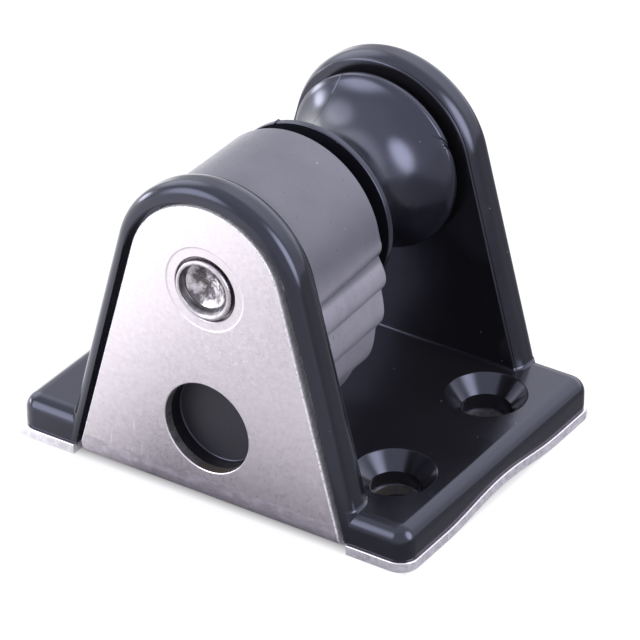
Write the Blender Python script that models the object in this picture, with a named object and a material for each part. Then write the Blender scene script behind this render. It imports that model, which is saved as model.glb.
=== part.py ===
"""Rope jam cleat: a folded steel cradle inside a one-piece plastic body, with a riveted axle
that carries an eccentric toothed cam and a grooved free-running roller.

Frame, in metres: X runs along the rope, Y along the axle, Z up.
The origin is the middle of the underside. The loaded rope leaves towards +X.
"""

import math

import bmesh
import bpy
from mathutils import Matrix

# Clearances
SEAT_GAP = 0.0003             # between two fixed pieces that touch on the real cleat
RUNNING_GAP = 0.0002          # radial play of the cam and the roller on the axle
SIDE_PLAY = 0.0004            # axial play beside each turning piece
OVERLAP = 0.0005              # how far a shape reaches into one that it is joined to
CUT_MARGIN = 0.004            # how far a cutter stands past what it cuts
SAME_PLACE = 0.00005          # two points nearer than this count as one level
WELD = 0.000001               # points of a turned shape nearer than this are merged

# Steel cradle, one folded sheet
BASE_LENGTH = 0.068           # along the rope
BASE_WIDTH = 0.0515           # across, over the outer faces of the two wings
SHEET = 0.0014                # sheet thickness
BEND_RADIUS = 0.0029          # outer radius of the fold at the foot of a wing
CORNER_RADIUS = 0.0030        # plan radius of the four corners
ARCH_RISE = 0.0013            # the floor bows up between its two bearing strips
BEARING_STRIP = 0.01025       # flat strip of the floor along each long side, outside the bow
WING_TOP_RADIUS = 0.01285     # round top of a wing, about the axle
WING_SLOPE = 0.271            # sideways run of a wing's edge for each unit of height
RELIEF_WIDTH = 0.0009         # notch between a wing's foot and the floor beside it
WING_HOLE_RADIUS = 0.00715    # lightening hole low on each wing
WING_HOLE_HEIGHT = 0.01285    # height of its centre
COIN_RADIUS = 0.0067          # shallow ring pressed into the wing round the rivet head
COIN_DEPTH = 0.0004

# Plastic body, one moulding
BASE_TOP = 0.0066             # height of the flat bed
BASE_INSET = 0.0004           # the moulding stands this far inside the sheet's edge
BASE_EDGE_RADIUS = 0.0024     # rounding of the bed's top edge
CHEEK_WALL = 0.0040           # from a cheek's inner face to the wing's seat
CHEEK_TOP_RADIUS = 0.0160     # round top of a cheek, about the axle
CHEEK_SLOPE = 0.265           # as WING_SLOPE, for the edge of a cheek
LIP_SINK = 0.0002             # the lip round a wing ends this far below the steel's face
SEAT_SIDE_GAP = 0.00115       # between a wing's sloping edge and the lip beside it
LIP_EDGE_RADIUS = 0.0015      # rounding of the lip's outer edge
CHEEK_EDGE_RADIUS = 0.0010    # rounding of a cheek's inner edge
POCKET_DEPTH = 0.0021         # round blind pocket in the cheek behind the wing's hole

# Screw holes
SCREW_TO_END = 0.0106         # from a screw's centre to the end of the base
SCREW_TO_CHEEK = 0.00765      # from a screw's centre to the cheek's inner face
SCREW_RADIUS = 0.00375        # through the moulding
SCREW_STEEL_RADIUS = 0.0035   # through the sheet
SINK_RADIUS = 0.0061          # countersink at the bed's surface

# Axle, a solid pin with drilled and swaged ends
AXLE_HEIGHT = 0.0359
AXLE_RADIUS = 0.0036
HEAD_RADIUS = 0.00465
HEAD_PROUD = 0.0005           # how far each head stands past its wing
HEAD_DRILL_RADIUS = 0.0039    # dimple drilled into the end
HEAD_DRILL_DEPTH = 0.0019
HEAD_CONE_DEPTH = 0.0005      # cone left by the drill point
HEAD_ROUND = 0.0003
GREASE_GROOVES = 5            # shallow grooves turned in the shank, evenly spaced
GREASE_GROOVE_WIDTH = 0.0012
GREASE_GROOVE_DEPTH = 0.00015

# Cam
CAM_FAR_END = -0.0027         # end next to the roller
CAM_RADIUS = 0.0145           # plain round back, about the axle
CREASE_START = 14.3           # radius of the spiral at the first crease, in millimetres
CREASE_RISE = 0.0672          # millimetres of radius for each degree past the first crease
CREASE_CURVE = 0.00145        # millimetres of radius for each square degree
FIRST_CREASE = 4.7            # degrees below the axle's level, at the far end
TOOTH_PITCH = 19.2            # degrees from crease to crease
TOOTH_COUNT = 4
TOOTH_HEIGHT = 0.0009         # a tooth's bulge above the spiral
TOOTH_SKEW = 1.36             # above 1, a tooth's crest lies nearer its lower crease
FIRST_CREST = -3.5            # degrees, crest of the short first tooth
BLEND_FAR = -10.8             # degrees, where the round back ends at the far end
BLEND_NEAR = -25.0            # degrees, the same at the near end
TOOTH_SLANT = 2.5             # degrees that a crease leans from the axle's direction
NOSE_RADIUS = 0.0024          # rounding of the cam's tip
NOSE_CLEARANCE = 0.0007       # gap left over the bed when the tip hangs straight down
NOSE_ANGLE = 82.0             # degrees below the axle's level, at rest
NOSE_TURN_IN = 40.0           # degrees before the nose's own direction where its rounding starts
NOSE_MARGIN = 2.0             # degrees kept free of teeth before that rounding
BACK_RADIUS = 0.0090          # swell of the cam's back, between the nose and the round back
BACK_LEFT = 0.0030            # how far the swell's centre lies behind the axle
BACK_DROP = 0.0125            # and below it

# Roller
FLANGE_RADIUS = 0.0139
FLANGE_RIM = 0.0011           # thickness of a flange at its rim
WAIST_RADIUS = 0.0090         # bottom of the rope groove
NEAR_BOSS = 0.0028            # boss that spaces the roller from the cam
FAR_BOSS = 0.00095            # boss that spaces it from the cheek
HUB_RADIUS = 0.0075           # radius of both bosses
FLANGE_DISH = 0.0006          # the flange's outer face sinks by this much towards the boss

# Places that follow from the sizes above
ARCH_HALF_WIDTH = BASE_WIDTH / 2 - BEARING_STRIP
CHEEK_INNER = BASE_WIDTH / 2 - SHEET - SEAT_GAP - CHEEK_WALL
SCREW_X = BASE_LENGTH / 2 - SCREW_TO_END
SCREW_Y = CHEEK_INNER - SCREW_TO_CHEEK
TURNING_END = CHEEK_INNER - SIDE_PLAY

# Fineness
ROUND_STEPS = 56              # facets of a full turned surface
HOLE_STEPS = 40
ARC_STEPS = 24                # facets of the round top of a wing or cheek
BEND_STEPS = 6
BOW_STEPS = 16                # facets across the floor's bow
BED_EDGE_STEPS = 5
CHEEK_EDGE_STEPS = 4
CREASE_STEPS = 7              # facets of one tooth's bulge
CREST_STEPS = 4               # facets from the first crest down to the first crease
NOSE_STEPS = 8
SWELL_STEPS = 5               # facets of the swell behind the nose
BACK_STEPS = 34               # facets of the cam's round back
CAM_STATIONS = 5              # rings of points across the cam's width
GROOVE_STEPS = 14
SMOOTH_ANGLE = 30             # degrees, flatter edges than this are shaded smooth


def clear_scene():
    """Remove every object that the file opened with."""
    for item in list(bpy.data.objects):
        bpy.data.objects.remove(item, do_unlink=True)


def make_material(name, color, roughness, metallic):
    """Return a Principled material for one piece."""
    material = bpy.data.materials.new(name)
    material.use_nodes = True
    shader = material.node_tree.nodes["Principled BSDF"]
    shader.inputs["Base Color"].default_value = (*color, 1.0)
    shader.inputs["Roughness"].default_value = roughness
    shader.inputs["Metallic"].default_value = metallic
    return material


def finish_mesh(name, shape, material=None):
    """Turn a bmesh into a linked object."""
    bmesh.ops.recalc_face_normals(shape, faces=shape.faces)
    mesh = bpy.data.meshes.new(name)
    shape.to_mesh(mesh)
    shape.free()
    mesh.shade_smooth()
    mesh.set_sharp_from_angle(angle=math.radians(SMOOTH_ANGLE))
    item = bpy.data.objects.new(name, mesh)
    bpy.context.collection.objects.link(item)
    if material is not None:
        mesh.materials.append(material)
    return item


def hide_cutter(item):
    """Mark a helper that only cuts, so that it is neither rendered nor built."""
    item.hide_render = True
    item.display_type = "WIRE"
    return item


def boolean(item, tool, operation):
    """Join, cut or intersect an object with another."""
    modifier = item.modifiers.new(f"{operation.lower()} {tool.name}", "BOOLEAN")
    modifier.operation = operation
    modifier.solver = "EXACT"
    modifier.object = tool


def prism(outline, axis, low, high):
    """Extrude a flat outline between two positions along X, Y or Z and return the bmesh.

    The outline holds pairs in the plane across the axis: (y, z) for X, (x, z) for Y, (x, y) for Z.
    """
    places = {
        "X": lambda a, b: (low, a, b),
        "Y": lambda a, b: (a, low, b),
        "Z": lambda a, b: (a, b, low),
    }
    shape = bmesh.new()
    corners = [shape.verts.new(places[axis](a, b)) for a, b in outline]
    cap = shape.faces.new(corners)
    step = {"X": (high - low, 0, 0), "Y": (0, high - low, 0), "Z": (0, 0, high - low)}[axis]
    grown = bmesh.ops.extrude_face_region(shape, geom=[cap])
    moved = [part for part in grown["geom"] if isinstance(part, bmesh.types.BMVert)]
    bmesh.ops.translate(shape, verts=moved, vec=step)
    return shape


def turned(profile, steps):
    """Spin an (axial, radius) profile about the Y axis into a closed solid."""
    shape = bmesh.new()
    ring = [shape.verts.new((radius, along, 0)) for along, radius in profile]
    edges = [shape.edges.new(pair) for pair in zip(ring, ring[1:])]
    if min(radius for _, radius in profile) > 0:
        edges.append(shape.edges.new((ring[-1], ring[0])))
    bmesh.ops.spin(
        shape, geom=ring + edges, axis=(0, 1, 0), cent=(0, 0, 0),
        angle=math.tau, steps=steps, use_merge=True, use_duplicate=False,
    )
    bmesh.ops.remove_doubles(shape, verts=shape.verts, dist=WELD)
    return shape


def arc(center, radius, start, end, steps):
    """Points of an arc, in degrees, both ends included."""
    angles = [math.radians(start + (end - start) * i / steps) for i in range(steps + 1)]
    return [(center[0] + radius * math.cos(a), center[1] + radius * math.sin(a)) for a in angles]


def circle(center, radius):
    """Points of a full circle, none of them repeated."""
    return arc(center, radius, 0, 360, HOLE_STEPS)[:-1]


def rounded_rectangle(length, width, radius):
    """Plan outline with four round corners, centred on the origin."""
    points = []
    for turn, (side_x, side_y) in enumerate(((1, 1), (-1, 1), (-1, -1), (1, -1))):
        corner = (side_x * (length / 2 - radius), side_y * (width / 2 - radius))
        points += arc(corner, radius, 90 * turn, 90 * turn + 90, BEND_STEPS)
    return points


def half_width(radius, slope, height, drop=0.0):
    """Half-width at a height of an outline that is tangent to a circle drop below the axle."""
    return radius * math.hypot(1, slope) + (AXLE_HEIGHT - drop - height) * slope


def arch_outline(radius, slope, foot, drop=0.0):
    """Side outline of a wing, seat or cheek: straight sloping edges under a round top."""
    lean = math.degrees(math.atan(slope))
    points = [(half_width(radius, slope, foot, drop), foot)]
    points += arc((0, AXLE_HEIGHT - drop), radius, lean, 180 - lean, ARC_STEPS)
    points.append((-half_width(radius, slope, foot, drop), foot))
    return points


def arch_height(across):
    """Height of the bow under the floor at a distance across it."""
    if abs(across) >= ARCH_HALF_WIDTH:
        return 0.0
    return ARCH_RISE * 0.5 * (1 + math.cos(math.pi * across / ARCH_HALF_WIDTH))


def bow_line(half_span, height):
    """The bowed line across the floor at a height over the underside, from -Y to +Y."""
    inner = [ARCH_HALF_WIDTH * (2 * i / BOW_STEPS - 1) for i in range(BOW_STEPS + 1)]
    across = [-half_span] + inner + [half_span]
    return [(y, height + arch_height(y)) for y in across]


def axle_cutter(name, radius, half_length):
    """A round cutter along the axle."""
    profile = [(-half_length, 0), (-half_length, radius), (half_length, radius), (half_length, 0)]
    item = finish_mesh(name, turned(profile, HOLE_STEPS))
    item.location = (0, 0, AXLE_HEIGHT)
    return hide_cutter(item)


def screw_cutter(name, radius, sink_radius):
    """One cutter for the four screw holes, with a countersink where sink_radius is given."""
    bottom = -CUT_MARGIN
    top = BASE_TOP + CUT_MARGIN
    if sink_radius > radius:
        flare = top - BASE_TOP
        profile = [(bottom, 0), (bottom, radius), (BASE_TOP - (sink_radius - radius), radius),
                   (top, sink_radius + flare), (top, 0)]
    else:
        profile = [(bottom, 0), (bottom, radius), (top, radius), (top, 0)]
    shape = bmesh.new()
    for side_x in (-1, 1):
        for side_y in (-1, 1):
            hole = turned(profile, HOLE_STEPS)
            bmesh.ops.transform(hole, matrix=Matrix.Rotation(math.radians(90), 4, "X"), verts=hole.verts)
            spot = (side_x * SCREW_X, side_y * SCREW_Y, 0)
            bmesh.ops.translate(hole, verts=hole.verts, vec=spot)
            holder = bpy.data.meshes.new(f"{name} hole")
            hole.to_mesh(holder)
            hole.free()
            shape.from_mesh(holder)
            bpy.data.meshes.remove(holder)
    return hide_cutter(finish_mesh(name, shape))


def wing_hole():
    """Outline of the hole low on a wing, and of the pocket in the cheek behind it."""
    return circle((0, WING_HOLE_HEIGHT), WING_HOLE_RADIUS)


def wing_section(side, grow, reach):
    """Section across one wing and its fold, thickened inwards by grow and ending reach past the fold."""
    outer = BASE_WIDTH / 2
    center = (side * (outer - BEND_RADIUS), BEND_RADIUS)
    inner_radius = BEND_RADIUS - SHEET - grow
    top = AXLE_HEIGHT + WING_TOP_RADIUS + CUT_MARGIN
    start = (center[0] - side * reach, 0)
    out_end = 0 if side > 0 else 180
    down = 270
    if side > 0:
        outside = arc(center, BEND_RADIUS, down, down + 90, BEND_STEPS)
        inside = arc(center, inner_radius, down + 90, down, BEND_STEPS)
    else:
        outside = arc(center, BEND_RADIUS, down, out_end, BEND_STEPS)
        inside = arc(center, inner_radius, out_end, down, BEND_STEPS)
    inner_face = side * (outer - SHEET - grow)
    return [start, *outside, (side * outer, top), (inner_face, top), *inside, (start[0], SHEET + grow)]


def build_steel_cradle(material):
    """The floor with its four ears, and the two wings folded up from it."""
    half_span = BASE_WIDTH / 2 + CUT_MARGIN
    under = bow_line(half_span, 0)
    over = bow_line(half_span, SHEET)
    half_length = BASE_LENGTH / 2 + CUT_MARGIN
    sheet = prism(under + over[::-1], "X", -half_length, half_length)
    cradle = finish_mesh("steel_cradle", sheet, material)
    plan = rounded_rectangle(BASE_LENGTH, BASE_WIDTH, CORNER_RADIUS)
    footprint = finish_mesh("cut floor outline", prism(plan, "Z", -CUT_MARGIN, BASE_TOP))
    boolean(cradle, hide_cutter(footprint), "INTERSECT")

    fold_line = BASE_WIDTH / 2 - BEND_RADIUS
    window = half_width(WING_TOP_RADIUS, WING_SLOPE, 0) + RELIEF_WIDTH
    for side in (-1, 1):
        label = "near" if side < 0 else "far"
        low, high = sorted((side * fold_line, side * half_span))
        gap = [(-window, low), (window, low), (window, high), (-window, high)]
        notch = finish_mesh(f"cut fold window {label}", prism(gap, "Z", -CUT_MARGIN, BASE_TOP))
        boolean(cradle, hide_cutter(notch), "DIFFERENCE")

        section = wing_section(side, 0, OVERLAP)
        wing = finish_mesh(f"join wing {label}", prism(section, "X", -window, window))
        sides = arch_outline(WING_TOP_RADIUS, WING_SLOPE, -CUT_MARGIN)
        low, high = sorted((side * (fold_line - CUT_MARGIN), side * half_span))
        outline = finish_mesh(f"cut wing outline {label}", prism(sides, "Y", low, high))
        boolean(wing, hide_cutter(outline), "INTERSECT")
        boolean(cradle, hide_cutter(wing), "UNION")

        hole_cut = finish_mesh(f"cut wing hole {label}", prism(wing_hole(), "Y", low, high))
        boolean(cradle, hide_cutter(hole_cut), "DIFFERENCE")
        ring = circle((0, AXLE_HEIGHT), COIN_RADIUS)
        coin_floor = side * (BASE_WIDTH / 2 - COIN_DEPTH)
        coin_low, coin_high = sorted((coin_floor, side * half_span))
        coin = finish_mesh(f"cut coined ring {label}", prism(ring, "Y", coin_low, coin_high))
        boolean(cradle, hide_cutter(coin), "DIFFERENCE")

    boolean(cradle, axle_cutter("cut cradle axle", AXLE_RADIUS + SEAT_GAP, half_span), "DIFFERENCE")
    boolean(cradle, screw_cutter("cut cradle screws", SCREW_STEEL_RADIUS, 0), "DIFFERENCE")
    return cradle


def build_cheek(side):
    """One cheek with rounded edges, before the wing's seat is cut in it."""
    inner = CHEEK_INNER
    outer = BASE_WIDTH / 2 - LIP_SINK
    foot = SHEET + SEAT_GAP + OVERLAP
    low, high = sorted((side * inner, side * outer))
    shape = prism(arch_outline(CHEEK_TOP_RADIUS, CHEEK_SLOPE, foot), "Y", low, high)
    for face_y, radius in ((side * outer, LIP_EDGE_RADIUS), (side * inner, CHEEK_EDGE_RADIUS)):
        rim = [
            edge for edge in shape.edges
            if all(abs(vert.co.y - face_y) < SAME_PLACE for vert in edge.verts)
            and max(vert.co.z for vert in edge.verts) > foot + SAME_PLACE
        ]
        bmesh.ops.bevel(shape, geom=rim, offset=radius, offset_type="OFFSET", segments=CHEEK_EDGE_STEPS,
                        profile=0.5, affect="EDGES", clamp_overlap=True)
    return shape


def build_body_moulding(material):
    """The bed with its rounded edge, and the two cheeks with a lip round each wing."""
    length = BASE_LENGTH - 2 * BASE_INSET
    width = BASE_WIDTH - 2 * BASE_INSET
    plan = rounded_rectangle(length, width, CORNER_RADIUS - BASE_INSET)
    slab = prism(plan, "Z", SHEET + SEAT_GAP, BASE_TOP)
    rim = [edge for edge in slab.edges if all(vert.co.z > BASE_TOP - SAME_PLACE for vert in edge.verts)]
    bmesh.ops.bevel(slab, geom=rim, offset=BASE_EDGE_RADIUS, offset_type="OFFSET", segments=BED_EDGE_STEPS,
                    profile=0.5, affect="EDGES", clamp_overlap=True)
    body = finish_mesh("body_moulding", slab, material)

    half_span = BASE_WIDTH / 2 + CUT_MARGIN
    bow = bow_line(half_span, SHEET + SEAT_GAP)
    below = [(half_span, -CUT_MARGIN), (-half_span, -CUT_MARGIN)]
    half_length = BASE_LENGTH / 2 + CUT_MARGIN
    underside = finish_mesh("cut underside bow", prism(bow + below, "X", -half_length, half_length))

    lean = math.atan(WING_SLOPE)
    seat_drop = (SEAT_SIDE_GAP - SEAT_GAP) / (1 - math.sin(lean))
    seat_top = WING_TOP_RADIUS + SEAT_GAP + seat_drop
    for side in (-1, 1):
        label = "near" if side < 0 else "far"
        cheek = finish_mesh(f"join cheek {label}", build_cheek(side))
        boolean(body, hide_cutter(cheek), "UNION")

        section = wing_section(side, SEAT_GAP, CUT_MARGIN)
        outer = [(y + side * CUT_MARGIN * (abs(y) > BASE_WIDTH / 2 - OVERLAP), z) for y, z in section]
        seat = finish_mesh(f"cut wing seat {label}", prism(outer, "X", -half_length, half_length))
        outline = arch_outline(seat_top, WING_SLOPE, -CUT_MARGIN, seat_drop)
        low, high = sorted((side * (CHEEK_INNER - CUT_MARGIN), side * (half_span + CUT_MARGIN)))
        limit = finish_mesh(f"cut seat outline {label}", prism(outline, "Y", low, high))
        boolean(seat, hide_cutter(limit), "INTERSECT")
        boolean(body, hide_cutter(seat), "DIFFERENCE")

        pocket_floor = side * (BASE_WIDTH / 2 - SHEET - SEAT_GAP - POCKET_DEPTH)
        pocket_low, pocket_high = sorted((pocket_floor, side * half_span))
        pocket = finish_mesh(f"cut pocket {label}", prism(wing_hole(), "Y", pocket_low, pocket_high))
        boolean(body, hide_cutter(pocket), "DIFFERENCE")

    boolean(body, hide_cutter(underside), "DIFFERENCE")
    boolean(body, axle_cutter("cut body axle", AXLE_RADIUS + SEAT_GAP, half_span), "DIFFERENCE")
    boolean(body, screw_cutter("cut body screws", SCREW_RADIUS, SINK_RADIUS), "DIFFERENCE")
    return body


def build_axle_pin(material):
    """The axle with its two swaged heads, each with a drilled dimple."""
    seat = BASE_WIDTH / 2 - COIN_DEPTH + SEAT_GAP
    face = BASE_WIDTH / 2 + HEAD_PROUD
    half = [
        (seat, AXLE_RADIUS), (seat, HEAD_RADIUS), (face - HEAD_ROUND, HEAD_RADIUS),
        (face, HEAD_RADIUS - HEAD_ROUND), (face, HEAD_DRILL_RADIUS),
        (face - HEAD_DRILL_DEPTH, HEAD_DRILL_RADIUS),
        (face - HEAD_DRILL_DEPTH - HEAD_CONE_DEPTH, 0),
    ]
    mirrored = [(-along, radius) for along, radius in half[::-1]]
    shank = []
    for groove in range(1, GREASE_GROOVES + 1):
        middle = seat * (2 * groove / (GREASE_GROOVES + 1) - 1)
        shank += [
            (middle - GREASE_GROOVE_WIDTH / 2, AXLE_RADIUS),
            (middle - GREASE_GROOVE_WIDTH / 4, AXLE_RADIUS - GREASE_GROOVE_DEPTH),
            (middle + GREASE_GROOVE_WIDTH / 4, AXLE_RADIUS - GREASE_GROOVE_DEPTH),
            (middle + GREASE_GROOVE_WIDTH / 2, AXLE_RADIUS),
        ]
    pin = finish_mesh("axle_pin", turned(mirrored + shank + half, HOLE_STEPS), material)
    pin.location = (0, 0, AXLE_HEIGHT)
    return pin


def crease_radius(angle):
    """Radius of the cam's spiral at an angle below the axle's level, in degrees."""
    past = angle - FIRST_CREASE
    return (CREASE_START + CREASE_RISE * past + CREASE_CURVE * past * past) * 0.001


def shared_normal(low, low_radius, high, high_radius):
    """Direction, in degrees, of the outward normal that two circles share on their -X side."""
    rise = (high[0] - low[0], high[1] - low[1])
    heading = math.degrees(math.atan2(rise[1], rise[0])) - 360
    return heading + math.degrees(math.acos((low_radius - high_radius) / math.hypot(*rise)))


def cam_outline(station):
    """The cam's outline, station 0 at its far end and 1 at its near end.

    Angles are degrees below the axle's level on the +X side, about the axle.
    """
    width = TURNING_END + CAM_FAR_END
    drop = math.tan(math.radians(TOOTH_SLANT)) * width * station
    shift = math.degrees(drop / CAM_RADIUS)
    blend = BLEND_FAR + (BLEND_NEAR - BLEND_FAR) * station
    polar = []

    crest = FIRST_CREST + shift
    crest_radius = crease_radius(crest) + TOOTH_HEIGHT
    for i in range(CREASE_STEPS + 1):
        share = i / CREASE_STEPS
        ease = share * share
        polar.append((blend + (crest - blend) * share, CAM_RADIUS + (crest_radius - CAM_RADIUS) * ease))
    first = FIRST_CREASE + shift
    for i in range(1, CREST_STEPS):
        share = i / CREST_STEPS
        bulge = TOOTH_HEIGHT * math.cos(0.5 * math.pi * share)
        angle = crest + (first - crest) * share
        polar.append((angle, crease_radius(angle) + bulge))

    nose_reach = AXLE_HEIGHT - BASE_TOP - NOSE_CLEARANCE - NOSE_RADIUS
    last_tooth = NOSE_ANGLE - math.degrees(NOSE_RADIUS / nose_reach) - NOSE_MARGIN
    for tooth in range(TOOTH_COUNT):
        for i in range(CREASE_STEPS):
            share = i / CREASE_STEPS
            angle = first + TOOTH_PITCH * (tooth + share)
            height = TOOTH_HEIGHT * math.sin(math.pi * share ** TOOTH_SKEW)
            if angle < last_tooth:
                polar.append((angle, crease_radius(angle) + height))

    points = [(r * math.cos(math.radians(-a)), r * math.sin(math.radians(-a))) for a, r in polar]
    nose_turn = math.radians(-NOSE_ANGLE)
    nose = (nose_reach * math.cos(nose_turn), nose_reach * math.sin(nose_turn))
    back = (-BACK_LEFT, -BACK_DROP)
    lower = shared_normal(nose, NOSE_RADIUS, back, BACK_RADIUS)
    upper = shared_normal(back, BACK_RADIUS, (0, 0), CAM_RADIUS)
    points += arc(nose, NOSE_RADIUS, NOSE_TURN_IN - NOSE_ANGLE, lower, NOSE_STEPS)
    points += arc(back, BACK_RADIUS, lower, upper, SWELL_STEPS)
    points += arc((0, 0), CAM_RADIUS, upper, -360 - blend, BACK_STEPS)[:-1]
    return points


def build_cam(material):
    """The eccentric cam: slanted rounded teeth on a spiral that ends in a rounded nose."""
    near_end = -TURNING_END
    shape = bmesh.new()
    rings = []
    for index in range(CAM_STATIONS):
        share = index / (CAM_STATIONS - 1)
        along = CAM_FAR_END + (near_end - CAM_FAR_END) * share
        ring = [shape.verts.new((x, along, z)) for x, z in cam_outline(share)]
        edges = [shape.edges.new((ring[i - 1], ring[i])) for i in range(len(ring))]
        rings.append((ring, edges))
    for (_, first), (_, second) in zip(rings, rings[1:]):
        bmesh.ops.bridge_loops(shape, edges=first + second)
    for ring, _ in (rings[0], rings[-1]):
        shape.faces.new(ring)
    cam = finish_mesh("cam", shape, material)
    cam.location = (0, 0, AXLE_HEIGHT)
    bore = axle_cutter("cut cam bore", AXLE_RADIUS + RUNNING_GAP, BASE_WIDTH / 2)
    boolean(cam, bore, "DIFFERENCE")
    return cam


def build_roller(material):
    """The roller: a deep rope groove between two thin flanges, on a hub."""
    near = CAM_FAR_END + SIDE_PLAY
    far = TURNING_END
    near_rim = near + NEAR_BOSS
    far_rim = far - FAR_BOSS
    groove_low = near_rim + FLANGE_RIM
    groove_high = far_rim - FLANGE_RIM
    half = (groove_high - groove_low) / 2
    depth = FLANGE_RADIUS - WAIST_RADIUS
    sweep = (half * half + depth * depth) / (2 * depth)
    middle = (groove_low + groove_high) / 2
    reach = math.degrees(math.asin(half / sweep))
    groove = arc((middle, WAIST_RADIUS + sweep), sweep, 270 - reach, 270 + reach, GROOVE_STEPS)
    bore = AXLE_RADIUS + RUNNING_GAP
    profile = [
        (near, bore), (near, HUB_RADIUS), (near_rim + FLANGE_DISH, HUB_RADIUS),
        (near_rim, FLANGE_RADIUS), *groove,
        (far_rim, FLANGE_RADIUS), (far_rim - FLANGE_DISH, HUB_RADIUS),
        (far, HUB_RADIUS), (far, bore),
    ]
    roller = finish_mesh("roller", turned(profile, ROUND_STEPS), material)
    roller.location = (0, 0, AXLE_HEIGHT)
    return roller


def main():
    clear_scene()
    steel = make_material("stainless steel", (0.62, 0.60, 0.62), 0.28, 1.0)
    rivet = make_material("rivet steel", (0.55, 0.53, 0.53), 0.30, 1.0)
    plastic = make_material("black moulding", (0.012, 0.012, 0.014), 0.22, 0.0)
    wheel = make_material("black roller", (0.016, 0.016, 0.019), 0.32, 0.0)
    casting = make_material("grey casting", (0.22, 0.21, 0.25), 0.50, 0.4)
    build_body_moulding(plastic)
    build_steel_cradle(steel)
    build_axle_pin(rivet)
    build_cam(casting)
    build_roller(wheel)


main()
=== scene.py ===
# %% [markdown]
# # A rope jam cleat
# A folded stainless cradle holds a one-piece black moulding. A riveted axle crosses both and carries an
# eccentric toothed cam, which bites on the rope, and a grooved roller, which lets the free rope run.
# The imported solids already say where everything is. This lesson rebuilds each piece with the small
# radii, coined rings, seams and finishes that a light catches, in the same places.

import math

import bmesh
import bpy
from mathutils import Matrix, Vector, noise


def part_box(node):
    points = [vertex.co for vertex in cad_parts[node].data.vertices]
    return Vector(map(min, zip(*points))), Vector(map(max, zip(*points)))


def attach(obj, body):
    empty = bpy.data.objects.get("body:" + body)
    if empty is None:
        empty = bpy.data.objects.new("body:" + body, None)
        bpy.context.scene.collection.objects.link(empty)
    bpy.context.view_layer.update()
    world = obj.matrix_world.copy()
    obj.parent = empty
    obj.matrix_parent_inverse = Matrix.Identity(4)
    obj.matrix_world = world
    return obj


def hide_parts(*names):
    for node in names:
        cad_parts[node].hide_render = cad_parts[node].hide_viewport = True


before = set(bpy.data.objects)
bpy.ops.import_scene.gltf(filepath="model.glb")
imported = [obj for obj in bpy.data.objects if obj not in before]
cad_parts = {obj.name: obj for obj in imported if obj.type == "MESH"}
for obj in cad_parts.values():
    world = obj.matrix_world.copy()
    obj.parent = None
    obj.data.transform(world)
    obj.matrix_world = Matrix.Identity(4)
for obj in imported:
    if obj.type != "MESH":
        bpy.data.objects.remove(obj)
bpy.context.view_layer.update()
MM = 0.001

# %% [markdown]
# ## Sizes taken from the frame
# The cradle's box gives the base, and the axle's box gives its height. Everything else hangs on these,
# so the dressed pieces stay where the solids are, even if those are built again at another size.

# %% Read the main sizes
cradle_low, cradle_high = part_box("steel_cradle")
axle_low, axle_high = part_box("axle_pin")
cam_low, cam_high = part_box("cam")
roller_low, roller_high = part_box("roller")

base_length = cradle_high.x - cradle_low.x
base_width = cradle_high.y - cradle_low.y
axle_height = (axle_low.z + axle_high.z) / 2
head_radius = (axle_high.z - axle_low.z) / 2
flange_radius = (roller_high.z - roller_low.z) / 2
axle = Vector((0, 0, axle_height))
print("base", round(base_length / MM, 2), round(base_width / MM, 2), "axle height", round(axle_height / MM, 2))

# %% [markdown]
# ## The camera
# The photograph was taken from above the right front corner, with a long lens. These values were
# solved from the base's corners, the flanges and the holes, so the render lands on the same pixels.

# %% Place the camera
CAMERA_TURN = math.radians(33.358)
CAMERA_RISE = math.radians(31.576)
CAMERA_DISTANCE = 690.61 * MM
CAMERA_SIDESTEP = 2.019 * MM
CAMERA_AIM_HEIGHT = 17.764 * MM
LENS = 266.939
SENSOR = 36


def camera_axes(turn, rise):
    """Right, up and back of a camera that looks at the part from a turn and a rise."""
    back = Vector((
        math.sin(turn) * math.cos(rise),
        -math.cos(turn) * math.cos(rise),
        math.sin(rise),
    ))
    right = Vector((math.cos(turn), math.sin(turn), 0))
    return right, back.cross(right), back


def add_camera():
    """Make the photograph's camera and set it as the scene's own."""
    right, up, back = camera_axes(CAMERA_TURN, CAMERA_RISE)
    data = bpy.data.cameras.new("photo_camera")
    data.lens = LENS
    data.sensor_width = SENSOR
    data.clip_start = 0.01
    item = bpy.data.objects.new("photo_camera", data)
    place = Matrix((right, up, back)).transposed().to_4x4()
    place.translation = Vector((0, 0, CAMERA_AIM_HEIGHT)) + right * CAMERA_SIDESTEP + back * CAMERA_DISTANCE
    item.matrix_world = place
    bpy.context.scene.collection.objects.link(item)
    bpy.context.scene.camera = item
    return item


camera = add_camera()
print("camera stands at", [round(value, 3) for value in camera.matrix_world.translation])

# %% [markdown]
# ## Small tools
# Every piece starts as a bmesh, becomes an object at the origin, and may be joined with or cut by
# others. A Boolean modifier does that work, and its result is read back as a plain mesh, so no
# cutter is left behind. Weighted normals keep the flats flat beside the small roundings.

# %% Make, join and cut
SMOOTH_ANGLE = math.radians(32)


def everything(shape):
    """All of a bmesh's points, edges and faces, as the operators want them."""
    return shape.verts[:] + shape.edges[:] + shape.faces[:]


def to_object(name, shape):
    """Turn a bmesh into an object with its normals facing out."""
    bmesh.ops.recalc_face_normals(shape, faces=shape.faces)
    mesh = bpy.data.meshes.new(name)
    shape.to_mesh(mesh)
    shape.free()
    item = bpy.data.objects.new(name, mesh)
    bpy.context.scene.collection.objects.link(item)
    return item


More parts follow.
